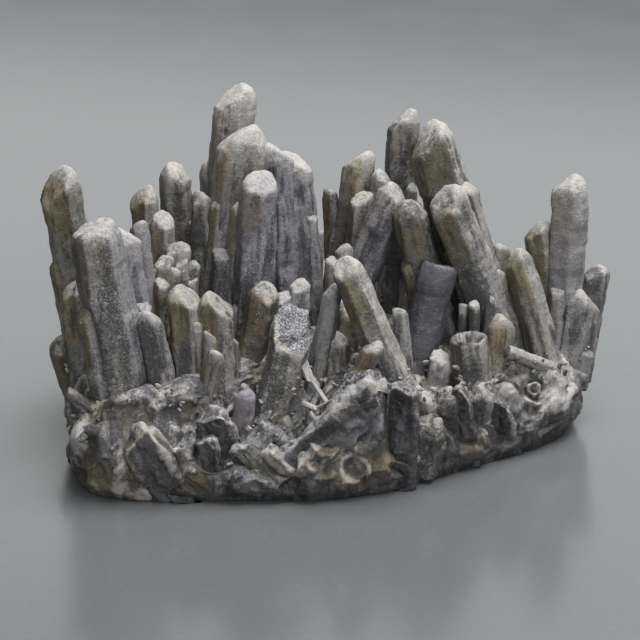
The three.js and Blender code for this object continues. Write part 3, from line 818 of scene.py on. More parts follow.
def companions(c):
    """Thinner crystals grown parallel to a big one: set to its side, with lower tips."""
    if c["width"] < COMPANION["least"] or c["broken"] or c["split"]:
        return []
    right, back, along = directions(c)
    key = c["tip"][0] + 3 * c["tip"][2]
    length = np.linalg.norm(c["tip"] - c["foot"])
    made = []
    for i in range(COMPANION["count"]):
        turn = np.radians(c["roll"] + 60 * np.floor(3 * wobble(key, 70 + i)))
        side = c["width"] * COMPANION["aside"] * (np.cos(turn) * right + np.sin(turn) * back)
        lower = length * (COMPANION["lower"] + 0.2 * wobble(key, 80 + i))
        width = c["width"] * (COMPANION["width"] + 0.08 * wobble(key, 90 + i))
        tip = c["tip"] + side - lower * along
        more = {"start": c["start"], "main": (np.degrees(turn), 46, 0.6), "rough": 1.2}
        look = (c["look"][0], c["look"][1], 0.4 * c["look"][2], *c["look"][3:])
        made.append(crystal(tip, c["foot"] + side, width, c["roll"] + 20 * wobble(key, 95 + i), look, **more))
    return made


def grow(name, crystals, cell):
    """Makes one piece of a list of crystals and the thin ones beside the big ones."""
    piece = Piece(name)
    for c in crystals:
        for one in [c, *companions(c)]:
            add_crystal(piece, one, cell)
    piece.make(quartz)


# %% [markdown]
# ## The tall crystals
#
# Each row is one crystal: its tip and foot in millimetres, its width and how it is
# turned, then its look (tone from dark to light, olive 0 to violet 1, length of the
# frost cap, stain, sparkle, which is the share of painted glints). The left group leans
# left: a slender crystal with a brown-stained head, and the big blunt crystal full of
# silver specks, painted as highlights, in front of it.

# %% Left group
FINE, MEDIUM, COARSE = 0.38, 0.44, 0.55

LEFT_GROUP = [
    crystal((-51.2, 2, 56.8), (-45.3, 5), 7.2, 20, (0.85, 0.3, 3.0, 1.0, 0.3), main=(215, 50, 2.2),
            narrow=-0.6),
    crystal((-42.8, -14, 54), (-36, -17), 9.8, 42, (0.42, 0.5, 5, 1.0, 1.0), depth=8.8, main=(200, 10, 3),
            cream=0.75),
    crystal((-37.6, -10, 49.8), (-32.6, -13), 6.4, 10, (0.46, 0.95, 4.0, 0.2, 0.5), main=(20, 42, 1.2)),
    crystal((-35, -5, 49), (-31.8, -7), 3.8, 25, (0.5, 0.7, 4.5, 0.3, 0.3)),
    crystal((-34.8, 8, 51.8), (-35.6, 5), 6.2, 5, (0.34, 0.2, 3.0, 1.0, 0.2), main=(205, 45, 1.8)),
    crystal((-29.6, 16, 53.8), (-27.8, 13), 6.6, 30, (0.5, 0.35, 2.2, 0.3, 0.3), main=(330, 45, 1.2)),
    crystal((-30.8, 6, 47), (-34, 2), 5.4, 15, (0.46, 0.3, 5.0, 0.8, 0.2)),
    crystal((-27.6, 0, 42.4), (-30, -5), 4.4, 0, (0.42, 0.4, 3.5, 0.4, 1.0), rough=2.2, cream=0.7),
    crystal((-30.4, -3, 40.4), (-30, -6), 4, 35, (0.4, 0.3, 3.5, 0.8, 0.9), rough=2.2, cream=0.7),
    crystal((-25.4, -1, 38.6), (-28, -6), 3.8, 12, (0.4, 0.4, 3.0, 0.5, 0.9), rough=2.2, cream=0.7),
    crystal((-30.8, -6, 37.2), (-31, -8), 3.4, 40, (0.5, 0.1, 1.5, 1.0, 0.3), rough=2),
    crystal((-28.8, -3.4, 38.8), (-29, -3.9, 29), 3.2, 15, (0.55, 0.2, 3.0, 0.6, 1.0), rough=2.2),
    crystal((-26.9, -2.6, 40), (-27.1, -3, 29), 2.8, 50, (0.6, 0.3, 4.0, 0.3, 1.0), rough=2.2),
    crystal((-25, -2.4, 36), (-25.4, -2.8, 28), 2.8, 30, (0.6, 0.3, 3.0, 0.3, 1.0), rough=2.2),
    crystal((-31.8, -3.6, 38.4), (-31.6, -4, 29), 2.6, 5, (0.5, 0.2, 3.0, 0.6, 0.8), rough=2.2),
    crystal((-48.6, -2, 35.2), (-47, -4), 5.6, 8, (0.42, 0.2, 2.6, 0.9, 0.3), main=(220, 42, 1.2)),
    crystal((-33, -15, 34.6), (-28.4, -19), 5.2, 20, (0.45, 0.6, 2.5, 0.4, 0.9), main=(60, 45, 1)),
    crystal((-52.8, 1, 21.8), (-48, 0), 6, 30, (0.28, 0.1, 1.0, 0.9, 0.2)),
]
grow("left_crystals", LEFT_GROUP, FINE)

# %% [markdown]
# ## The central fan
#
# The tallest crystals spread like a fan. They are seen over the shorter ones and are
# dark violet grey with points of light, under thick creamy caps.

# %% Central fan
CENTRAL_FAN = [
    crystal((-16.6, 18, 69.4), (-22.4, 12.5), 8.6, 12, (0.64, 0.4, 7.0, 0.6, 0.3), main=(200, 46, 1.6),
            narrow=0.8),
    crystal((-14.6, 10, 63.8), (-21, 7), 9.8, 40, (0.62, 0.5, 6.0, 0.75, 0.5), depth=8.6, main=(165, 38, 1.4),
            narrow=-0.6),
    crystal((-11.6, 2, 57), (-14.6, -1), 7.4, 18, (0.54, 0.9, 4.5, 0.7, 1.0), main=(285, 42, 1.8), cream=0.9),
    crystal((-8.6, 10, 59.8), (-7.8, 7), 6.4, 0, (0.48, 0.9, 5.0, 0.15, 0.6), main=(20, 40, 1.4)),
    crystal((-5.8, 12, 58), (-2, 9), 7, 35, (0.52, 0.7, 7.0, 0.3, 0.5), main=(350, 36, 2.4)),
    crystal((-23, 9, 50), (-23.6, 5), 5, 10, (0.42, 0.4, 2.0, 0.3, 0.4)),
    crystal((-19, 4.7, 40), (-21, 3), 5.4, 22, (0.36, 0.6, 1.0, 0.3, 0.7), cream=0.5),
]
grow("central_fan", CENTRAL_FAN, MEDIUM)

# %% [markdown]
# ## Short crystals in front
#
# A pair of stout olive crystals with tan caps, a few small ones between them, the dark
# snapped prism whose broken end glitters, and one smooth pale lilac crystal that the
# frost left alone.

# %% Short front crystals
SHORT_FRONT = [
    crystal((-26.2, -12, 38.3), (-25.2, -16.4), 5.8, 24, (0.44, 0.1, 2.0, 1.0, 0.4), main=(330, 48, 1.2),
            narrow=-1.6, cream=0.85),
    crystal((-20.4, -12, 37.3), (-19.2, -16.4), 6.8, 5, (0.46, 0.15, 2.2, 0.9, 0.5), main=(345, 48, 1.6),
            narrow=-1, cream=0.8),
    crystal((-19.6, -18, 27.4), (-25.6, -18), 3.8, 30, (0.5, 0.1, 2.0, 0.7, 0.4), main=(60, 45, 0.6)),
    crystal((-23.9, -14.5, 31.8), (-23, -17), 3, 0, (0.6, 0.3, 3.0, 0.5, 0.5)),
    crystal((-21.2, -16.4, 30.6), (-21, -18), 2.8, 20, (0.6, 0.3, 3.0, 0.4, 0.5)),
    crystal((-10.2, -6, 36.4), (-16, -9.4), 5.8, 20, (0.3, 0.15, 2.6, 1.0, 0.4), main=(300, 46, 1),
            cream=0.8),
    crystal((-3.6, -4, 36), (-8.4, -8.8), 4.2, 30, (0.45, 0.5, 3.0, 0.3, 0.9), rough=1.8),
    crystal((-6.8, -5, 34), (-9.6, -8), 4.4, 10, (0.45, 0.5, 2.0, 0.3, 0.9), rough=1.8),
    crystal((-4.6, -15, 34), (-11.4, -18.4), 7.4, 30, (0.32, 0.25, 1.0, 0.25, 1.0), depth=6.4,
            broken=(282, 58, 3.4), rim=0.9, edge=30),
    crystal((-14, -20.6, 21.6), (-15.8, -20.4), 4.6, 10, (0.8, 0.9, 0.5, 0.5, 0.0), lilac=0.75, rim=0.1,
            edge=5, bare=True),
]
grow("short_front_crystals", SHORT_FRONT, FINE)

# %% [markdown]
# ## Front right crystals
#
# The leaning crystal with a white cap is the centre of this side. Behind it stand dim
# greenish and violet prisms, and a hollow-topped one where only the crystal's outer
# walls kept growing.

# %% Front right crystals
FRONT_RIGHT = [
    crystal((4.2, -12, 44), (20.4, -15.4), 6.2, 28, (0.5, 0.4, 4.2, 1.0, 0.5), main=(240, 42, 1.4),
            cream=1.5),
    crystal((3.4, -10, 27.6), (3.6, -13), 5, 30, (0.4, 0.1, 2.0, 0.3, 0.4)),
    crystal((6, -5, 32.8), (8.4, -9), 6.4, 15, (0.3, 0.3, 2.0, 0.4, 0.4), main=(300, 44, 1)),
    crystal((3, -10, 37.6), (-3.4, -13.2), 3.7, 28, (0.55, 0.5, 1.5, 0.2, 0.3), main=(200, 46, 0.6)),
    crystal((15.4, -8, 32), (18, -12.6), 3.2, 10, (0.5, 0.4, 3.0, 0.4, 0.5)),
    crystal((24, 0, 37.8), (15.8, -6.6), 6.6, 30, (0.05, 1.0, 0.3, 0.1, 0.3), broken=(80, 24, 0.3), rim=0.15,
            edge=8, lilac=0.15),
    crystal((29.2, -8, 25.6), (31.6, -10.4), 7.2, 30, (0.3, 0.0, 0.3, 0.1, 0.3), broken=(250, 6, 0.2),
            hollow=(2.6, 5), rim=0.75, rim_width=0.3, edge=20),
    crystal((36.6, 0, 27.2), (34.4, -4.6), 4.8, 25, (0.5, 0.1, 2.0, 0.9, 0.3), main=(30, 40, 0.8),
            narrow=-1.6),
    crystal((37.2, -4.4, 20.6), (48, -1, 14.6), 2.8, 0, (0.8, 0.3, 9.0, 0.0, 0.2), broken=(180, 12, 0)),
    crystal((30.6, -1, 30.4), (31, -4), 2.4, 0, (-0.3, 0.3, 1.4, 0.0, 0.2), cream=4),
    crystal((33.6, 1, 31.4), (33.4, -3), 2.6, 20, (-0.3, 0.3, 1.4, 0.0, 0.2), cream=4),
    crystal((28.6, 0, 29.2), (28, -3), 2.2, 10, (-0.3, 0.3, 1.4, 0.0, 0.2), cream=4),
    crystal((23.2, -7, 22.4), (23, -10), 4.4, 5, (0.8, 0.5, 3, 0.2, 0.8), main=(300, 40, 0.8), rough=2.8,
            cream=1.5, bare=True),
]
grow("front_right_crystals", FRONT_RIGHT, FINE)

# %% [markdown]
# ## Back right and right groups
#
# Big crystals lean together over a deep dark hollow. Light reaches only their upper
# sides, and their left undersides carry the strongest brown and ochre stain, which is
# partly painted shade.

# %% Back right group
BACK_RIGHT = [
    crystal((17.6, 26, 61.6), (14.4, 19), 6.4, 14, (0.45, 0.4, 4.0, 0.5, 0.2), main=(190, 44, 1.4)),
    crystal((21.2, 14, 63), (38.6, 9), 9.8, 26, (0.4, 0.35, 5.5, 1.0, 0.7), main=(205, 40, 2.6), narrow=1),
    crystal((23.8, 4, 52.4), (42.6, 4), 8, 10, (0.32, 0.5, 4.5, 0.9, 0.5), main=(215, 42, 1.8)),
    crystal((16.8, 6, 48.8), (28.6, 3), 7.2, 32, (0.05, 0.2, 2.2, 1.0, 0.3), main=(240, 34, 1), cream=0.7),
    crystal((15.4, 10, 51), (-1, 6.4), 6.4, 30, (0.36, 0.9, 4.5, 0.4, 0.4), main=(330, 44, 1)),
    crystal((8.6, 22, 54.2), (0.4, 15.4), 6.6, 8, (0.45, 0.3, 4.0, 0.7, 0.2), main=(170, 44, 1.4)),
    crystal((12.8, 18, 51), (8.2, 13.4), 4.8, 20, (0.5, 0.4, 6.0, 0.7, 0.2)),
    crystal((8.8, 16, 47.2), (4.6, 11.6), 5, 30, (0.45, 0.3, 5.0, 0.8, 0.2)),
    crystal((2.2, 20, 46.4), (3.4, 15.8), 3.6, 0, (0.25, 0.1, 2.0, 1.0, 0.1)),
    crystal((5, 8, 39.2), (5, 3), 3.8, 12, (0.6, 0.5, 5.0, 0.2, 0.3)),
    crystal((2.6, 6, 36.8), (3.8, 1), 3.6, 24, (0.6, 0.5, 5.0, 0.3, 0.3)),
    crystal((37, 12, 37.4), (39, 8), 3.6, 30, (0.6, 0.3, 4.0, 0.5, 0.3)),
    crystal((35.4, 6, 34.6), (38.4, 3), 4, 15, (0.6, 0.3, 4.0, 0.5, 0.3)),
]
grow("back_right_crystals", BACK_RIGHT, MEDIUM)

# %% Right group
RIGHT_GROUP = [
    crystal((38.8, 6, 38.6), (49.4, -0.6), 5.6, 22, (0.6, 0.15, 3, 0.9, 0.3), main=(200, 45, 1)),
    crystal((44.4, 14, 41.2), (48, 10.8), 5.6, 10, (0.5, 0.1, 2.5, 1.0, 0.3), main=(190, 40, 1)),
    crystal((50.6, 14, 52), (50.3, 9), 7.6, 0, (1.0, 0.6, 7.0, 0.5, 0.7), main=(185, 34, 1.2), narrow=-0.3),
    crystal((57, 12, 32.6), (53, 8), 5.4, 26, (0.36, 0.5, 1.0, 0.2, 0.3), narrow=1),
    crystal((54, 9, 28.8), (51, 6), 7, 10, (0.55, 0.4, 2.0, 0.3, 0.7), main=(0, 40, 1)),
]
grow("right_crystals", RIGHT_GROUP, MEDIUM)

# %% [markdown]
# ## The back of the cluster
#
# Behind stand crystals of the same growth, shorter than the fan, leaning outwards.

# %% Back crystals
BACK_SIDE = [
    crystal((-40, 25, 31.6), (-36, 18), 7, 14, (0.45, 0.4, 3.5, 0.6, 0.4), main=(90, 44, 1.4)),
    crystal((-47.6, 18, 27), (-42, 14), 6, 4, (0.45, 0.3, 3.0, 0.7, 0.4), main=(150, 42, 1.2)),
    crystal((-31.6, 29.4, 36.6), (-28.6, 20), 7.8, 30, (0.4, 0.6, 4.5, 0.5, 0.6), main=(80, 44, 1.6)),
    crystal((-21.4, 27.6, 51), (-20.4, 20), 7.4, 10, (0.4, 0.8, 5.0, 0.4, 0.6), main=(110, 46, 1.4)),
    crystal((-10.4, 28.4, 45.8), (-11.6, 20), 8.8, 25, (0.36, 0.8, 5.0, 0.5, 0.8), main=(70, 40, 2)),
    crystal((-1.6, 30.6, 33.4), (-3, 21), 6, 0, (0.35, 0.4, 1.0, 0.3, 0.5), broken=(90, 30, 1), rim=0.9),
    crystal((7, 30.8, 38), (6, 21), 7, 20, (0.42, 0.5, 4.0, 0.6, 0.5), main=(100, 44, 1.4)),
    crystal((26.4, 27.6, 46), (24, 18), 8, 5, (0.42, 0.5, 4.5, 0.7, 0.5), main=(60, 42, 1.8)),
    crystal((34.6, 25, 34), (32, 17), 6, 28, (0.5, 0.3, 3.0, 0.7, 0.4), main=(90, 44, 1.2)),
    crystal((44, 24.4, 30.4), (41, 17), 6.8, 16, (0.46, 0.4, 3.5, 0.5, 0.4), main=(40, 44, 1.2)),
    crystal((16.6, 31.4, 29), (16, 21), 5.6, 9, (0.34, 0.4, 1.0, 0.3, 0.4), broken=(90, 35, 1), rim=0.9),
    crystal((-52.4, 11, 33), (-47, 10), 6.2, 21, (0.44, 0.4, 3.0, 0.6, 0.4), main=(180, 44, 1.2)),
]
grow("back_crystals", BACK_SIDE, COARSE)

# %% [markdown]
# ## The broken front edge
#
# Where the specimen was broken out of its rock, crystals are snapped across or along
# their length. The breaks are dark and smooth and each has a cream rim, the skin of
# frost cut through. A few short whole crystals stand between them.

# %% Broken crystals of the front edge
def snapped(tip, foot, width, roll, broken, **more):
    """A crystal broken across: dark, hardly frosted, with a strong pale rim."""
    more = {"rim": 0.9, "rim_width": 0.7, "edge": 16, "start": -5, "rough": 1.7, "bare": True} | more
    look = more.pop("look", (0.3, 0.45, 0.6, 0.3, 0.2))
    return crystal(tip, foot, width, roll, look, broken=broken, **more)


def cleft(tip, foot, width, roll, split, **more):
    """A crystal broken along its length, so that its dark inside faces the front."""
    more = {"rim": 1.0, "rim_width": 0.9, "edge": 14, "start": -5, "rough": 2.2, "bare": True} | more
    look = more.pop("look", (0.42, 0.45, 1.6, 0.3, 0.2))
    return crystal(tip, foot, width, roll, look, split=split, **more)


FRONT_EDGE = [
    cleft((-35.4, -29.2, 16.6), (-26.2, -27.2, -4), 7.4, 0, (268, 90, 1.6), depth=6.4,
          look=(0.3, 0.3, 4, 0.7, 0.2), cream=0.6, rim_width=0.7),
    cleft((-19.9, -27.2, 19.8), (-18.2, -23, -4), 6.4, 30, (266, 89, 1.3), main=(250, 40, 0.8),
          look=(0.0, 0.5, 0.6, 0.2, 0.6), rim_width=0.6),
    cleft((-21.4, -29.6, 14.4), (-20.6, -24, 2), 4.6, 10, (255, 86, 1), look=(0.0, 0.4, 0.5, 0.3, 0.2),
          rim_width=0.4),
    crystal((-29.4, -25.4, 14.6), (-25, -21, 2), 5.4, 20, (0.5, 0.2, 2.0, 0.8, 0.3), main=(250, 40, 1),
            start=-5),
    crystal((-16.4, -28.2, 12.6), (-8.4, -25.4, 1), 3.4, 30, (0.2, 0.2, 9, 0.9, 0.3), depth=3, start=-5,
            rough=3.4, edge=8, cream=0.8),
    crystal((-10.6, -28.2, 12), (-2.6, -25.4, 2), 3.6, 30, (0.2, 0.2, 12, 0.4, 0.3), depth=3, start=-5,
            rough=3.4, edge=8, cream=0.95),
    cleft((12.2, -25.6, 23.4), (-5.6, -26, 5.4), 8, 0, (270, 90, 1.6), depth=6.4,
          look=(0.5, 0.8, 30, 0.2, 0.4), rough=2.6, cream=0.7),
    cleft((15.4, -24.6, 24), (15.6, -22.6, -4), 6.2, 2, (264, 89, 1.3), main=(300, 30, 0.8), narrow=0.2,
          look=(-1.0, 0.7, 0.5, 0.0, 0.0), rough=1.2, rim_width=0.6),
    crystal((22, -20.8, 15), (20, -18, 2), 6.6, 20, (0.05, 0.05, 0.8, 0.3, 0.8), main=(280, 30, 1), start=-5,
            rough=2.6, cream=0.35, edge=8),
    crystal((20, -17.6, 19.4), (19.2, -14.3, 4), 6, 10, (0.4, 0.2, 2.4, 0.3, 0.8), start=-5,
            rough=2.8, edge=10),
    crystal((24.6, -16.8, 19), (24, -13, 4), 5.6, 40, (0.4, 0.2, 1.2, 0.4, 0.8), start=-5,
            rough=2.8, edge=10),
    crystal((30.8, -13.6, 18.4), (30.4, -9, 4), 6, 25, (0.4, 0.3, 1.6, 0.3, 0.8), start=-5,
            rough=2.8, edge=10),
    cleft((27.4, -18, 20), (28, -13, -2), 5.6, 4, (262, 88, 1), main=(350, 60, 1.6), narrow=6,
          look=(-0.6, 0.3, 1.2, 1.0, 0.1), rim_width=0.5),
    cleft((35.4, -13.2, 14.8), (36, -8, -2), 6.4, 10, (268, 87, 1), narrow=9, look=(-0.8, 0.4, 0.6, 0.1, 0.1),
          rim_width=0.5),
    crystal((37.4, -11, 15.4), (36.6, -4, 4), 6.4, 25, (0.45, 0.6, 0.8, 0.2, 0.3), main=(280, 40, 2),
            start=-5, rough=1.8, edge=8, bare=True),
    snapped((42.8, -6.6, 13.4), (42, 2, 6), 3, 0, (270, 10, 0), hollow=(0.8, 2), rim_width=0.4),
]
grow("front_edge_crystals", FRONT_EDGE, FINE)

# %% [markdown]
# ## The druse bed
#
# The bed is the crust that all crystals stand on. It is a surface of two parameters: the
# turn around it, along a closed curve through its edge, and the way along a profile from
# the middle of the flat bottom, out, up the side and in over the top. Its lumps are not
# smooth: each is a little broken crystal with flat faces. So the relief is cut from
# cells, each tilted its own way, and the borders between cells become the pale rims.

# %% Edge curve and profile
BED_CENTRE = np.array([2.0, 1.0, 21.0])
BED_RIM = np.array([
    (-49.5, -19, 15), (-47.5, -26, 17), (-42.5, -29, 20), (-37.5, -30, 19), (-33, -30, 14), (-28, -30, 9),
    (-24, -30, 6), (-20, -30, 8), (-16, -30, 11), (-11, -30, 9), (-6, -30, 6.5), (-1, -30, 10.5),
    (4, -29.3, 17), (9, -28, 22), (14, -26.4, 22), (18.4, -24, 16), (21, -22.4, 10), (25, -20, 11),
    (30, -17, 11), (35, -14, 11), (40.5, -11, 9.5), (46.5, -7, 12), (51.5, -2.5, 14), (54, 3, 15),
    (54, 10, 13), (51, 17, 15), (45, 22, 13), (39, 25.5, 15), (31, 27, 12), (23, 28.8, 15), (14, 30, 13),
    (5, 30, 15), (-4, 29.5, 12), (-13, 30, 15), (-22, 29, 13), (-30, 27.5, 15), (-38, 25, 12),
    (-44, 19.5, 15), (-49, 13, 13), (-51, 4, 16), (-51.5, -5, 15), (-50.5, -12, 17),
], float)
BED_PROFILE = np.array([
    (0.0, 0), (0.5, 0), (0.95, 0), (0.98, 0.3), (0.97, 0.7), (0.9, 1), (0.72, 1), (0.4, 1), (0.0, 1),
])


def bed_edge(turn):
    """Point of the closed edge curve: a cubic through each four neighbouring points."""
    scaled = (turn % 1) * len(BED_RIM)
    index = np.floor(scaled).astype(int)
    t = (scaled - index)[..., None]
    a, b, c, d = (BED_RIM[(index + step) % len(BED_RIM)] for step in (-1, 0, 1, 2))
    bend = 2 * a - 5 * b + 4 * c - d
    return 0.5 * (2 * b + (c - a) * t + bend * t**2 + (3 * b - a - 3 * c + d) * t**3)


def bed_point(turn, spread, level):
    """Between the bed's centre (spread 0) and its edge (1), at a share of its height."""
    point = BED_CENTRE + spread[..., None] * (bed_edge(turn) - BED_CENTRE)
    point[..., 2] *= level
    return point


def bed_profile(way):
    """Spread and level at a way from 0, the bottom's middle, to 1, the top's middle."""
    steps = np.linspace(0, 1, len(BED_PROFILE))
    return np.interp(way, steps, BED_PROFILE[:, 0]), np.interp(way, steps, BED_PROFILE[:, 1])


quarter = np.array([0.0, 0.25, 0.5, 0.75])
print("the edge passes", bed_edge(quarter).round(1).tolist())


# %% Bed surface
BED_COLUMNS, BED_ROWS = 640, 118


def bed_surface():
    """Rows of the profile around the edge: places, outward directions and distance to the rim."""
    way = np.linspace(0, 1, BED_ROWS + 2)[1:-1]
    way = np.interp(way, [0, 0.12, 0.88, 1], [0, 0.25, 0.9, 1])
    turn = np.linspace(0, 1, BED_COLUMNS, endpoint=False)
    spread, level = bed_profile(way)
    turn_grid = np.repeat(turn[None], BED_ROWS, 0)
    base = bed_point(turn_grid, np.repeat(spread[:, None], BED_COLUMNS, 1), level[:, None])
    around = np.roll(base, -1, axis=1) - np.roll(base, 1, axis=1)
    along = np.gradient(base, axis=0)
    normal = np.cross(around, along)
    normal /= np.linalg.norm(normal, axis=-1, keepdims=True) + 1e-9
    corner = bed_point(turn_grid, np.full_like(turn_grid, 0.94), 1)
    to_rim = np.linalg.norm(base - corner, axis=-1)
    return base.reshape(-1, 3), normal.reshape(-1, 3), to_rim.ravel()


def clear_of(crystals, points):
    """0 around a crystal's upper half, up to half its width away, rising to 1 over 1.5 mm."""
    clear = np.ones(len(points))
    for c in crystals:
        axis = (c["foot"] - c["tip"]) / 2
        share = np.clip((points - c["tip"]) @ axis / (axis @ axis), 0, 1)
        away = np.linalg.norm(points - c["tip"] - share[:, None] * axis, axis=1)
        clear = np.minimum(clear, ramp(away - c["width"] / 2, 0, 1.5))
    return clear


bed_base, bed_normal, to_rim = bed_surface()
print("bed grid", bed_base.shape, "upward share", (bed_normal[:, 2] > 0).mean().round(2))


# %% Cells of the bed
# Round hollows broken into the wall: place, radius and depth
BED_PITS = [
    ((10.4, -28, 13), 1.3, 2.2), ((-12, -27, 12.5), 4.5, 2.4), ((6.8, -29, 7), 2.2, 1.2),
    ((-46.4, -27, 4.4), 2.0, 1.5),
]
# A raised pale ring around one of them: place, radius and half its width
PALE_RING = ((6.8, -29, 7), 2.7, 0.6)
MOST_RELIEF = 1.7

bent = bed_base + 0.8 * np.stack([noise(bed_base, 2.4, seed) for seed in (31, 32, 33)], axis=-1)
big, big_border, big_chance = faceted(bent, 6.5, 0.6, 1.3, 0.4, 10)
small, small_border, small_chance = faceted(bent, 2.6, 0.45, 0.4, 0.15, 20)
tiny, _, tiny_chance = faceted(bed_base, 1.1, 0.35, 0.14, 0.06, 40)
broken_rim = np.exp(-((to_rim / 1.3) ** 2)) * (0.75 + 0.5 * noise(bed_base, 3.5, 53))
ring_gap = (np.linalg.norm(bed_base - PALE_RING[0], axis=1) - PALE_RING[1]) / PALE_RING[2]
ring = np.exp(-(ring_gap**2))


def bed_relief():
    """Height over the smooth bed: cells and pits, none at the foot, and low behind the front edge."""
    relief = 0.5 + 0.8 * big + small + tiny + 0.4 * noise(bed_base, 9, 50) + 0.5 * broken_rim
    for middle, radius, deep in BED_PITS:
        relief -= deep * np.exp(-((np.linalg.norm(bed_base - middle, axis=1) / radius) ** 4))
    relief = MOST_RELIEF * np.tanh((relief + 0.6 * ring) / MOST_RELIEF)
    clear = clear_of(FRONT_EDGE, bed_base)
    return (relief * clear - 1.2 * (1 - clear)) * ramp(bed_base[:, 2], 0.0, 5.5)


print("relief from", bed_relief().min().round(2), "to", bed_relief().max().round(2), "mm")

# %% Druse bed
# Where the bed looks different: place, radius, and added frost, stain and darkness
BED_SPOTS = [
    ((-47, -24, 12), 4, 0.9, 0.2, -1), ((-46, -27, 9.5), 2, 0.5, 1.5, -1),
    ((-42.5, -28, 5.5), 3, 0.2, 1.5, -1), ((-46.4, -26, 4.4), 2.4, -0.5, 0.5, 0.9),
    ((-41, -30, 14.5), 6, 0.1, 0.1, 0), ((-39, -30, 9), 3.4, 0.3, 0, -0.6),
    ((-43.5, -29, 2.4), 2.4, 0.7, 1.3, -1.6), ((-38.5, -29, 3.4), 2.6, 0.5, 1.1, -1.2),
    ((-34, -30, 1.6), 2.4, 0.6, 1.3, -1.6), ((-45, -28, 6), 1.8, 0.3, 2.0, -1),
    ((-31.4, -24, 13.7), 2.4, 0.4, 1.2, -1), ((-24, -28, 5), 3, 0.1, 0.9, 0),
    ((-11, -26, 12), 6, -0.6, 0.0, 1), ((-2, -30, 7), 3, 0.5, 0.2, -1), ((-4, -24, 12), 4, -0.3, 0.0, 0.6),
    ((1.1, -29, 11.4), 1.8, -0.3, 1.6, -1), ((-4, -30, 4), 6, -0.4, 0.6, 0.7),
    ((8.8, -28, 9.5), 1.6, -0.3, 1.6, -1), ((7, -29, 4), 4, 0.1, 1.0, -0.5),
    ((21, -20, 15), 4, 0.2, 0.3, -0.6), ((20.4, -24, 10.5), 2.4, 1.0, 0.1, -1.4),
    ((30.8, -17, 10.5), 3, 1.0, 0.1, -1),
    ((20, -9, 21), 5.5, 1.2, 0.1, -1), ((34, 2, 18), 5, 0.5, 0.1, 0), ((48.4, -4, 10), 4.5, 0.9, 0.4, -1),
    ((46, 2, 13), 5, 0.9, 0.4, -1), ((52.4, 6, 16), 5, 0.9, 0.3, -1), ((44, -8, 2.4), 5, -0.4, 0.2, 0.8),
    ((-48, -22, 16), 6, 0.5, 0.2, -0.5),
]


def bed_values():
    """Colour values of the bed. It is dark at the foot, most of all on the right, where little light
    gets under its edge, and the borders of its cells are pale."""
    points = bed_base
    top = ramp(bed_normal[:, 2], 0.1, 0.8)
    patchy = np.clip(0.6 + 0.8 * noise(points, 2.2, 54), 0, 1)
    rim = 0.25 * np.exp(-small_border / 0.3) + 0.5 * patchy * np.exp(-big_border / 0.5)
    rim = np.maximum(rim + 1.0 * broken_rim, 0.8 * ring)
    frost, stain = 0.18 * top + 0.3 * small_chance * tiny_chance, 0.24 - 0.0045 * points[:, 0]
    dark = ramp(big_chance + 0.3 * noise(points, 4, 51), 0.3, 0.7) * (1 - 0.8 * top)
    for spot, radius, pale, brown, darker in BED_SPOTS:
        share = np.exp(-((np.linalg.norm((bent - spot) * (1, 1, 1.3), axis=1) / radius) ** 4))
        frost, stain, dark = frost + pale * share, stain + brown * share, dark + darker * share
    # foot and shade are painted shade: the bed is darkened near the floor, most of all on the right
    foot = 1 - ramp(points[:, 2] + 1.5 * noise(points, 5, 55), 1.5, 7)
    frost = frost + 0.4 * ramp(noise(bent, 4.2, 57), 0.0, 0.6) * (1 - top)
    stain = stain + 0.5 * ramp(noise(bent, 3.6, 58), 0.1, 0.6) * (1 - top)
    dark = np.clip(dark + 0.7 * foot, 0, 1) * (1 - ramp(frost, 0.4, 0.8))
    shade = (1 - ramp(points[:, 2] + 0.6 * noise(points, 3, 59), 1.2, 3.6)) * ramp(points[:, 0], 2, 20)
    frost, rim, dark = frost * (1 - shade), rim * (1 - 0.7 * foot) * (1 - shade), np.maximum(dark, shade)
    frost = np.clip(frost * (1 - 0.7 * dark), 0, 1)
    stain = np.clip(stain + 0.35 * noise(points, 6, 52), 0, 1)
    skin = np.stack([frost, stain, np.clip(rim, 0, 1), 0.8 * dark], axis=-1)
    tone = (0.25 * small_chance + 0.3 * tiny_chance) * (1 - foot) - 0.2 * (1 - top) - 0.8 * foot
    tone = tone * (1 - shade) - shade
    return skin, np.stack([tone, 0.2 + 0.4 * big_chance, 0.35 + 0 * tone, 0 * tone], axis=-1)


def druse_bed():
    """Puts the relief and the colour values on the grid, and closes it in the middle of each side."""
    moved = bed_base + bed_normal * bed_relief()[:, None]
    moved[:, 2] = np.maximum(moved[:, 2], 0)
    all_points = np.concatenate([[BED_CENTRE * (1, 1, 0)], moved, [BED_CENTRE]])
    pad = [np.concatenate([rows[:1], rows, rows[-1:]]) for rows in bed_values()]
    piece = Piece("druse_bed")
    piece.add(all_points, closed_grid(BED_ROWS, BED_COLUMNS), *pad, all_points)
    piece.make(quartz)


druse_bed()

# %% [markdown]
# ## Shards of the edge and small crystals of the bed
#
# Around the back part of the edge stick out broken crystals, and over the bed small ones
# stand between the tall. Both are worked out in a loop, with the irregular numbers
# deciding each one's place, lean and size. They are the same ones that the solid has.

# %% Rim shards and bed crystals
RIM_SHARDS, BED_CRYSTALS = 48, 58
SHARD = {"length": 6.6, "width": 4.2, "inset": 5, "low": 0.22, "high": 0.78}
SPROUT = {"length": 7, "width": 3.0, "sunk": 3.2, "lean": 0.55, "fan_from": 70}
BED_CRYSTALS_REACH, BED_CRYSTALS_FRONT = 0.9, -20
GOLDEN_TURN = 0.381966
SHARDS_BEHIND = 2


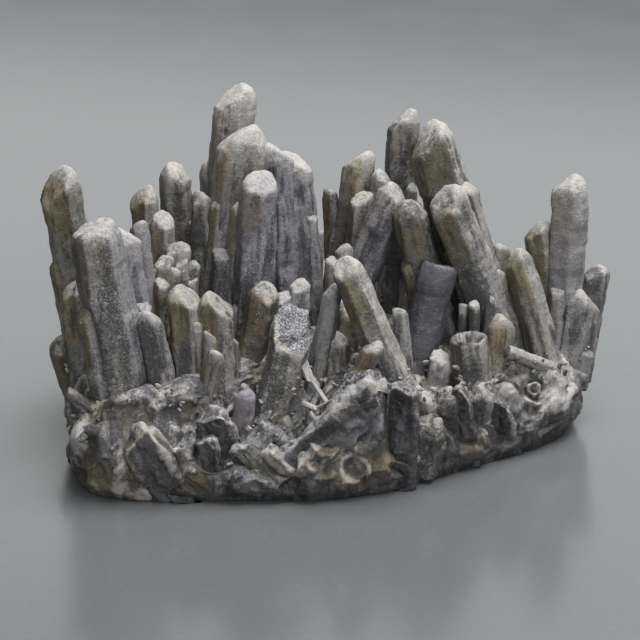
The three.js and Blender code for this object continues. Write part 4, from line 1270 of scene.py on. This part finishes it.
def rim_shard(i):
    """Broken crystal number i of the edge: its foot is set in from the edge, low and high by turns."""
    edge = bed_edge(np.array((i + 0.3 * wobble(i, 1)) / RIM_SHARDS))
    outward = (edge - BED_CENTRE) * (1, 1, 0)
    outward = outward / np.linalg.norm(outward)
    sideways = np.array([-outward[1], outward[0], 0])
    level = SHARD["low"] if i % 2 == 0 else SHARD["high"]
    foot = edge - SHARD["inset"] * outward
    foot[2] = edge[2] * (level + 0.14 * wobble(i, 2))
    heading = outward + 0.5 * wobble(i, 3) * sideways
    heading[2] = level + 0.4 * wobble(i, 4)
    heading = heading / np.linalg.norm(heading)
    tip = foot + heading * (SHARD["length"] + 1.4 * wobble(i, 5))
    broken = (180 * wobble(i, 8), 22 + 20 * wobble(i, 9), 0.4)
    look = (0.4 + 0.15 * wobble(i, 11), 0.45 + 0.4 * wobble(i, 12), 0.8, 0.45 + 0.45 * wobble(i, 13), 0.3)
    return snapped(tip, foot, SHARD["width"] + 1.4 * wobble(i, 6), 30 * wobble(i, 7), broken, look=look)


def bed_crystal(i):
    """Small crystal number i: feet spread evenly by the golden turn, leaning outwards."""
    spread = BED_CRYSTALS_REACH * np.sqrt((i + 0.5) / BED_CRYSTALS)
    foot = bed_point(np.array((i * GOLDEN_TURN) % 1), np.array(spread), 1)
    heading = (foot - BED_CENTRE) / SPROUT["fan_from"]
    heading[0] += SPROUT["lean"] * wobble(i, 51)
    heading[1] += SPROUT["lean"] * wobble(i, 52)
    heading[2] = 1
    foot[2] -= SPROUT["sunk"]
    tip = foot + heading / np.linalg.norm(heading) * (SPROUT["length"] + 4 * wobble(i, 53))
    width = SPROUT["width"] + 1.1 * wobble(i, 54)
    look = (0.45 + 0.2 * wobble(i, 56), 0.4 + 0.3 * wobble(i, 57), 1.5, 0.5 + 0.4 * wobble(i, 58), 0.4)
    return crystal(tip, foot, width, 30 * wobble(i, 55), look, start=-5, rough=1.6, bare=True)


hidden_shards = [i for i in range(RIM_SHARDS) if bed_edge(np.array(i / RIM_SHARDS))[1] >= SHARDS_BEHIND]
grow("rim_shards", [rim_shard(i) for i in hidden_shards], MEDIUM)
standing = [c for c in map(bed_crystal, range(BED_CRYSTALS)) if c["foot"][1] >= BED_CRYSTALS_FRONT]
grow("bed_crystals", standing, MEDIUM)

# %% [markdown]
# ## Thousands of small points
#
# Between the crystals and on their feet sit thousands of tiny quartz points, too small
# for planes and rays. Each is a six-sided prism with a pointed end, only two dozen
# triangles, and all are worked out together as arrays. They stand on places picked at
# random from the bed and from the lower skins of the crystals, and lean out from them.
# A few white slivers and grains of the front are listed one by one.

# %% Small points
LUCK = np.random.default_rng(7)
SIXTHS = np.arange(6) * np.pi / 3
# The foot's middle, six corners of the foot, six of the shoulder, and the tip
POINT_CORNERS = 14
FOOT_FROST = 0.3


def small_points(piece, places, heading, width, length, skin, body):
    """Adds a six-sided pointed prism at each place: a foot ring, a shoulder ring, a tip."""
    count = len(places)
    heading = heading / np.linalg.norm(heading, axis=1, keepdims=True)
    helper = np.where(np.abs(heading[:, 2:]) < 0.9, [[0, 0, 1.0]], [[1.0, 0, 0]])
    right = np.cross(helper, heading)
    right /= np.linalg.norm(right, axis=1, keepdims=True)
    back = np.cross(heading, right)
    turn = SIXTHS + LUCK.uniform(0, 1, (count, 1))
    flat = LUCK.uniform(0.55, 1.0, (count, 1))
    out = np.cos(turn)[..., None] * right[:, None] + (flat * np.sin(turn))[..., None] * back[:, None]
    out = out * (width / 2)[:, None, None]
    foot = places - heading * (0.35 * length)[:, None]
    neck = places + heading * (length - 0.6 * width)[:, None]
    slant = LUCK.uniform(-0.35, 0.35, (count, 6, 1)) * width[:, None, None] * heading[:, None]
    rings = [foot[:, None], foot[:, None] + out, neck[:, None] + 0.9 * out + slant]
    tip = places + heading * length[:, None] + 0.5 * out[:, 0]
    points = np.concatenate([*rings, tip[:, None]], axis=1).reshape(-1, 3)
    here, beside = np.arange(6), (np.arange(6) + 1) % 6
    first = POINT_CORNERS * np.arange(count)[:, None, None]
    quads = np.stack([1 + here, 1 + beside, 7 + beside, 7 + here], axis=-1) + first
    fan = np.stack([0 * here, 1 + beside, 1 + here], axis=-1) + first
    cap = np.stack([7 + here, 7 + beside, 0 * here + 13], axis=-1) + first
    faces = [quads.reshape(-1, 4), fan.reshape(-1, 3), cap.reshape(-1, 3)]
    skin, body = (np.repeat(rows, POINT_CORNERS, axis=0) for rows in (skin, body))
    skin[:, 0] = np.clip(skin[:, 0] * np.tile([FOOT_FROST] * 7 + [1] * 7, count), 0, 1)
    shift = LUCK.uniform(-9, 9, (count, 1, 3)).repeat(POINT_CORNERS, axis=1).reshape(-1, 3)
    piece.add(points, faces, skin, body, points + shift)


def random_looks(count, frost, stain, tone):
    """Colour values with a spread around the given ones."""
    paler, browner, lighter, bluer = LUCK.uniform(-1, 1, (count, 4)).T
    none = np.zeros(count)
    skin = np.stack([frost + 0.35 * paler, stain + 0.4 * browner, none, none], axis=1)
    body = np.stack([tone + 0.22 * lighter, 0.4 + 0.3 * bluer, none + 0.3, none], axis=1)
    return np.clip(skin, 0, 1), np.clip(body, 0, 1)


# %% Druse points on the bed
BED_POINTS = 1500
LOWEST_POINT, LEAST_UPWARD, LEAST_CLEAR = 6, 0.3, 0.5
druse = Piece("druse_points")
on_top = (bed_base[:, 2] > LOWEST_POINT) & (bed_normal[:, 2] > LEAST_UPWARD)
on_top = np.flatnonzero(on_top & (clear_of(FRONT_EDGE, bed_base) > LEAST_CLEAR))
picked = LUCK.choice(on_top, BED_POINTS, replace=False)
lean_out = bed_normal[picked] + LUCK.normal(0, 0.45, (BED_POINTS, 3))
widths = LUCK.gamma(2.5, 0.18, BED_POINTS) + 0.3
lengths = widths * LUCK.uniform(0.6, 1.5, BED_POINTS)
small_points(druse, bed_base[picked] + 0.5 * bed_normal[picked], lean_out, widths, lengths,
             *random_looks(BED_POINTS, 0.45, 0.0, 0.45))
print(BED_POINTS, "points on the bed, up to", widths.max().round(1), "mm wide")

# %% White slivers
# One end, the other end and the width: thin crystals that lie across each other, then white grains
SLIVERS = [
    ((-3.1, -17, 23.6), (-1.5, -19, 20.3), 2.2), ((-2.4, -17, 21.6), (-0.4, -19, 19.6), 1.6),
    ((-0.8, -19.6, 20.2), (1.5, -23, 18.1), 1.0), ((1.5, -23, 18.5), (-1.9, -21, 15.6), 1.0),
    ((-2.4, -21, 17), (-0.2, -22.4, 16.6), 1.4), ((-1.5, -23, 15.6), (-0.2, -24, 14.0), 1.1),
    ((10.7, -13, 21.4), (12.2, -14, 23.6), 0.8), ((11.7, -13.5, 19.4), (13.8, -15, 20.6), 0.8),
    ((0.2, -17, 20.2), (0.2, -17.4, 20.9), 0.8), ((4.2, -19, 19.3), (4.2, -19.4, 20), 0.8),
    ((3.8, -22, 16.1), (3.8, -22.4, 16.8), 0.9), ((-5.6, -25, 12.6), (-5.6, -25.4, 13.3), 0.9),
    ((-5.4, -26, 11.4), (-5.4, -26.4, 12.1), 0.9), ((-0.9, -24, 13.6), (-0.9, -24.4, 14.3), 0.8),
]
ends = np.array([[one, other] for one, other, width in SLIVERS], float)
thick = np.array([width for one, other, width in SLIVERS])
way = ends[:, 1] - ends[:, 0]
small_points(druse, ends[:, 0], way, thick, np.linalg.norm(way, axis=1),
             np.tile([1.0, 0.1, 0.0, 0.0], (len(ends), 1)), np.tile([0.9, 0.4, 0.6, 0.0], (len(ends), 1)))
print(len(ends), "slivers and grains")

# %% Points on the crystals' feet
# The bed falls by this much from its middle to its edge, which is this far away
BED_FALL, BED_REACH = 7, 48
FOOT_POINTS = 1500
skins = np.concatenate(GROWN_SKINS)
centre_gap = np.hypot(skins[:, 0] - BED_CENTRE[0], skins[:, 1] - BED_CENTRE[1]) / BED_REACH
bed_level = BED_CENTRE[2] - BED_FALL * np.clip(centre_gap, 0, 1)
low = np.flatnonzero((skins[:, 2] > bed_level - 1) & (skins[:, 2] < bed_level + 4) & (centre_gap < 1.1))
picked = LUCK.choice(low, FOOT_POINTS, replace=False)
keep = LUCK.uniform(0, 1, FOOT_POINTS) < 1 - (skins[picked, 2] - bed_level[picked]) / 5
picked = picked[keep]
lean_out = skins[picked, 3:] + [0, 0, 0.7] + LUCK.normal(0, 0.35, (len(picked), 3))
widths = LUCK.gamma(4.0, 0.15, len(picked)) + 0.3
small_points(druse, skins[picked, :3], lean_out, widths, widths * LUCK.uniform(0.6, 1.3, len(picked)),
             *random_looks(len(picked), 0.55, 0.0, 0.5))
druse.make(quartz, smooth=False)

# %% [markdown]
# ## Floor and light
#
# A plain floor with a faint shine and soft studio light. The main lamp hangs above and
# to the right, so that caps and upper faces are bright and undersides dark. A wide window
# far behind rims the crystals and shines in the floor, a weak fill from the front keeps
# the gaps readable, and the air itself is pale grey.

# %% Floor
def floor_material():
    s = Shader("pale_floor")
    place = s.node("ShaderNodeTexCoord", output="Object")
    grain = s.noise(place, 0.0012, 3, 0.6)
    blotches = s.noise(place, 0.03, 3, 0.5)
    mixed = (grain * 0.7 + blotches * 0.5 - 0.1).clamped()
    base = s.blend(mixed, (0.112, 0.119, 0.121), (0.152, 0.160, 0.163))
    return s.finish(base, 0.15 + blotches * 0.06, grain, 0.00001, specular=0.6, bump_strength=0.05)


FLOOR_HALF = 4.0
floor_mesh = bpy.data.meshes.new("floor")
corners = [(x * FLOOR_HALF, y * FLOOR_HALF, 0) for x, y in ((-1, -1), (1, -1), (1, 1), (-1, 1))]
floor_mesh.from_pydata(corners, [], [(0, 1, 2, 3)])
floor_mesh.materials.append(floor_material())
floor = bpy.data.objects.new("floor", floor_mesh)
bpy.context.scene.collection.objects.link(floor)
print("floor", 2 * FLOOR_HALF, "m wide")


# %% Lights
def lamp(name, place, target, width, height, watts):
    """A flat lamp of this width and height that looks from its place to the target, in metres."""
    data = bpy.data.lights.new(name, "AREA")
    data.shape = "RECTANGLE"
    data.size, data.size_y = width, height
    data.energy = watts
    made = bpy.data.objects.new(name, data)
    made.location = place
    way = Vector(target) - Vector(place)
    made.rotation_euler = way.to_track_quat("-Z", "Y").to_euler()
    bpy.context.scene.collection.objects.link(made)
    return made


lamp("top_lamp", (0.16, 0.02, 0.75), (0, 0, 0.02), 0.5, 0.5, 8.5)
lamp("back_window", (0.5, 1.7, 0.92), (0, 0, 0.02), 3.4, 0.9, 11.2)
lamp("front_fill", (0.25, -0.9, 0.55), (0, 0, 0.02), 0.6, 0.6, 3.1)
AIR_COLOUR, AIR_STRENGTH = (0.395, 0.413, 0.42, 1), 0.455
world = bpy.data.worlds.new("studio")
world.use_nodes = True
world.node_tree.nodes["Background"].inputs["Color"].default_value = AIR_COLOUR
world.node_tree.nodes["Background"].inputs["Strength"].default_value = AIR_STRENGTH
bpy.context.scene.world = world
bpy.context.scene.view_settings.view_transform = "Standard"
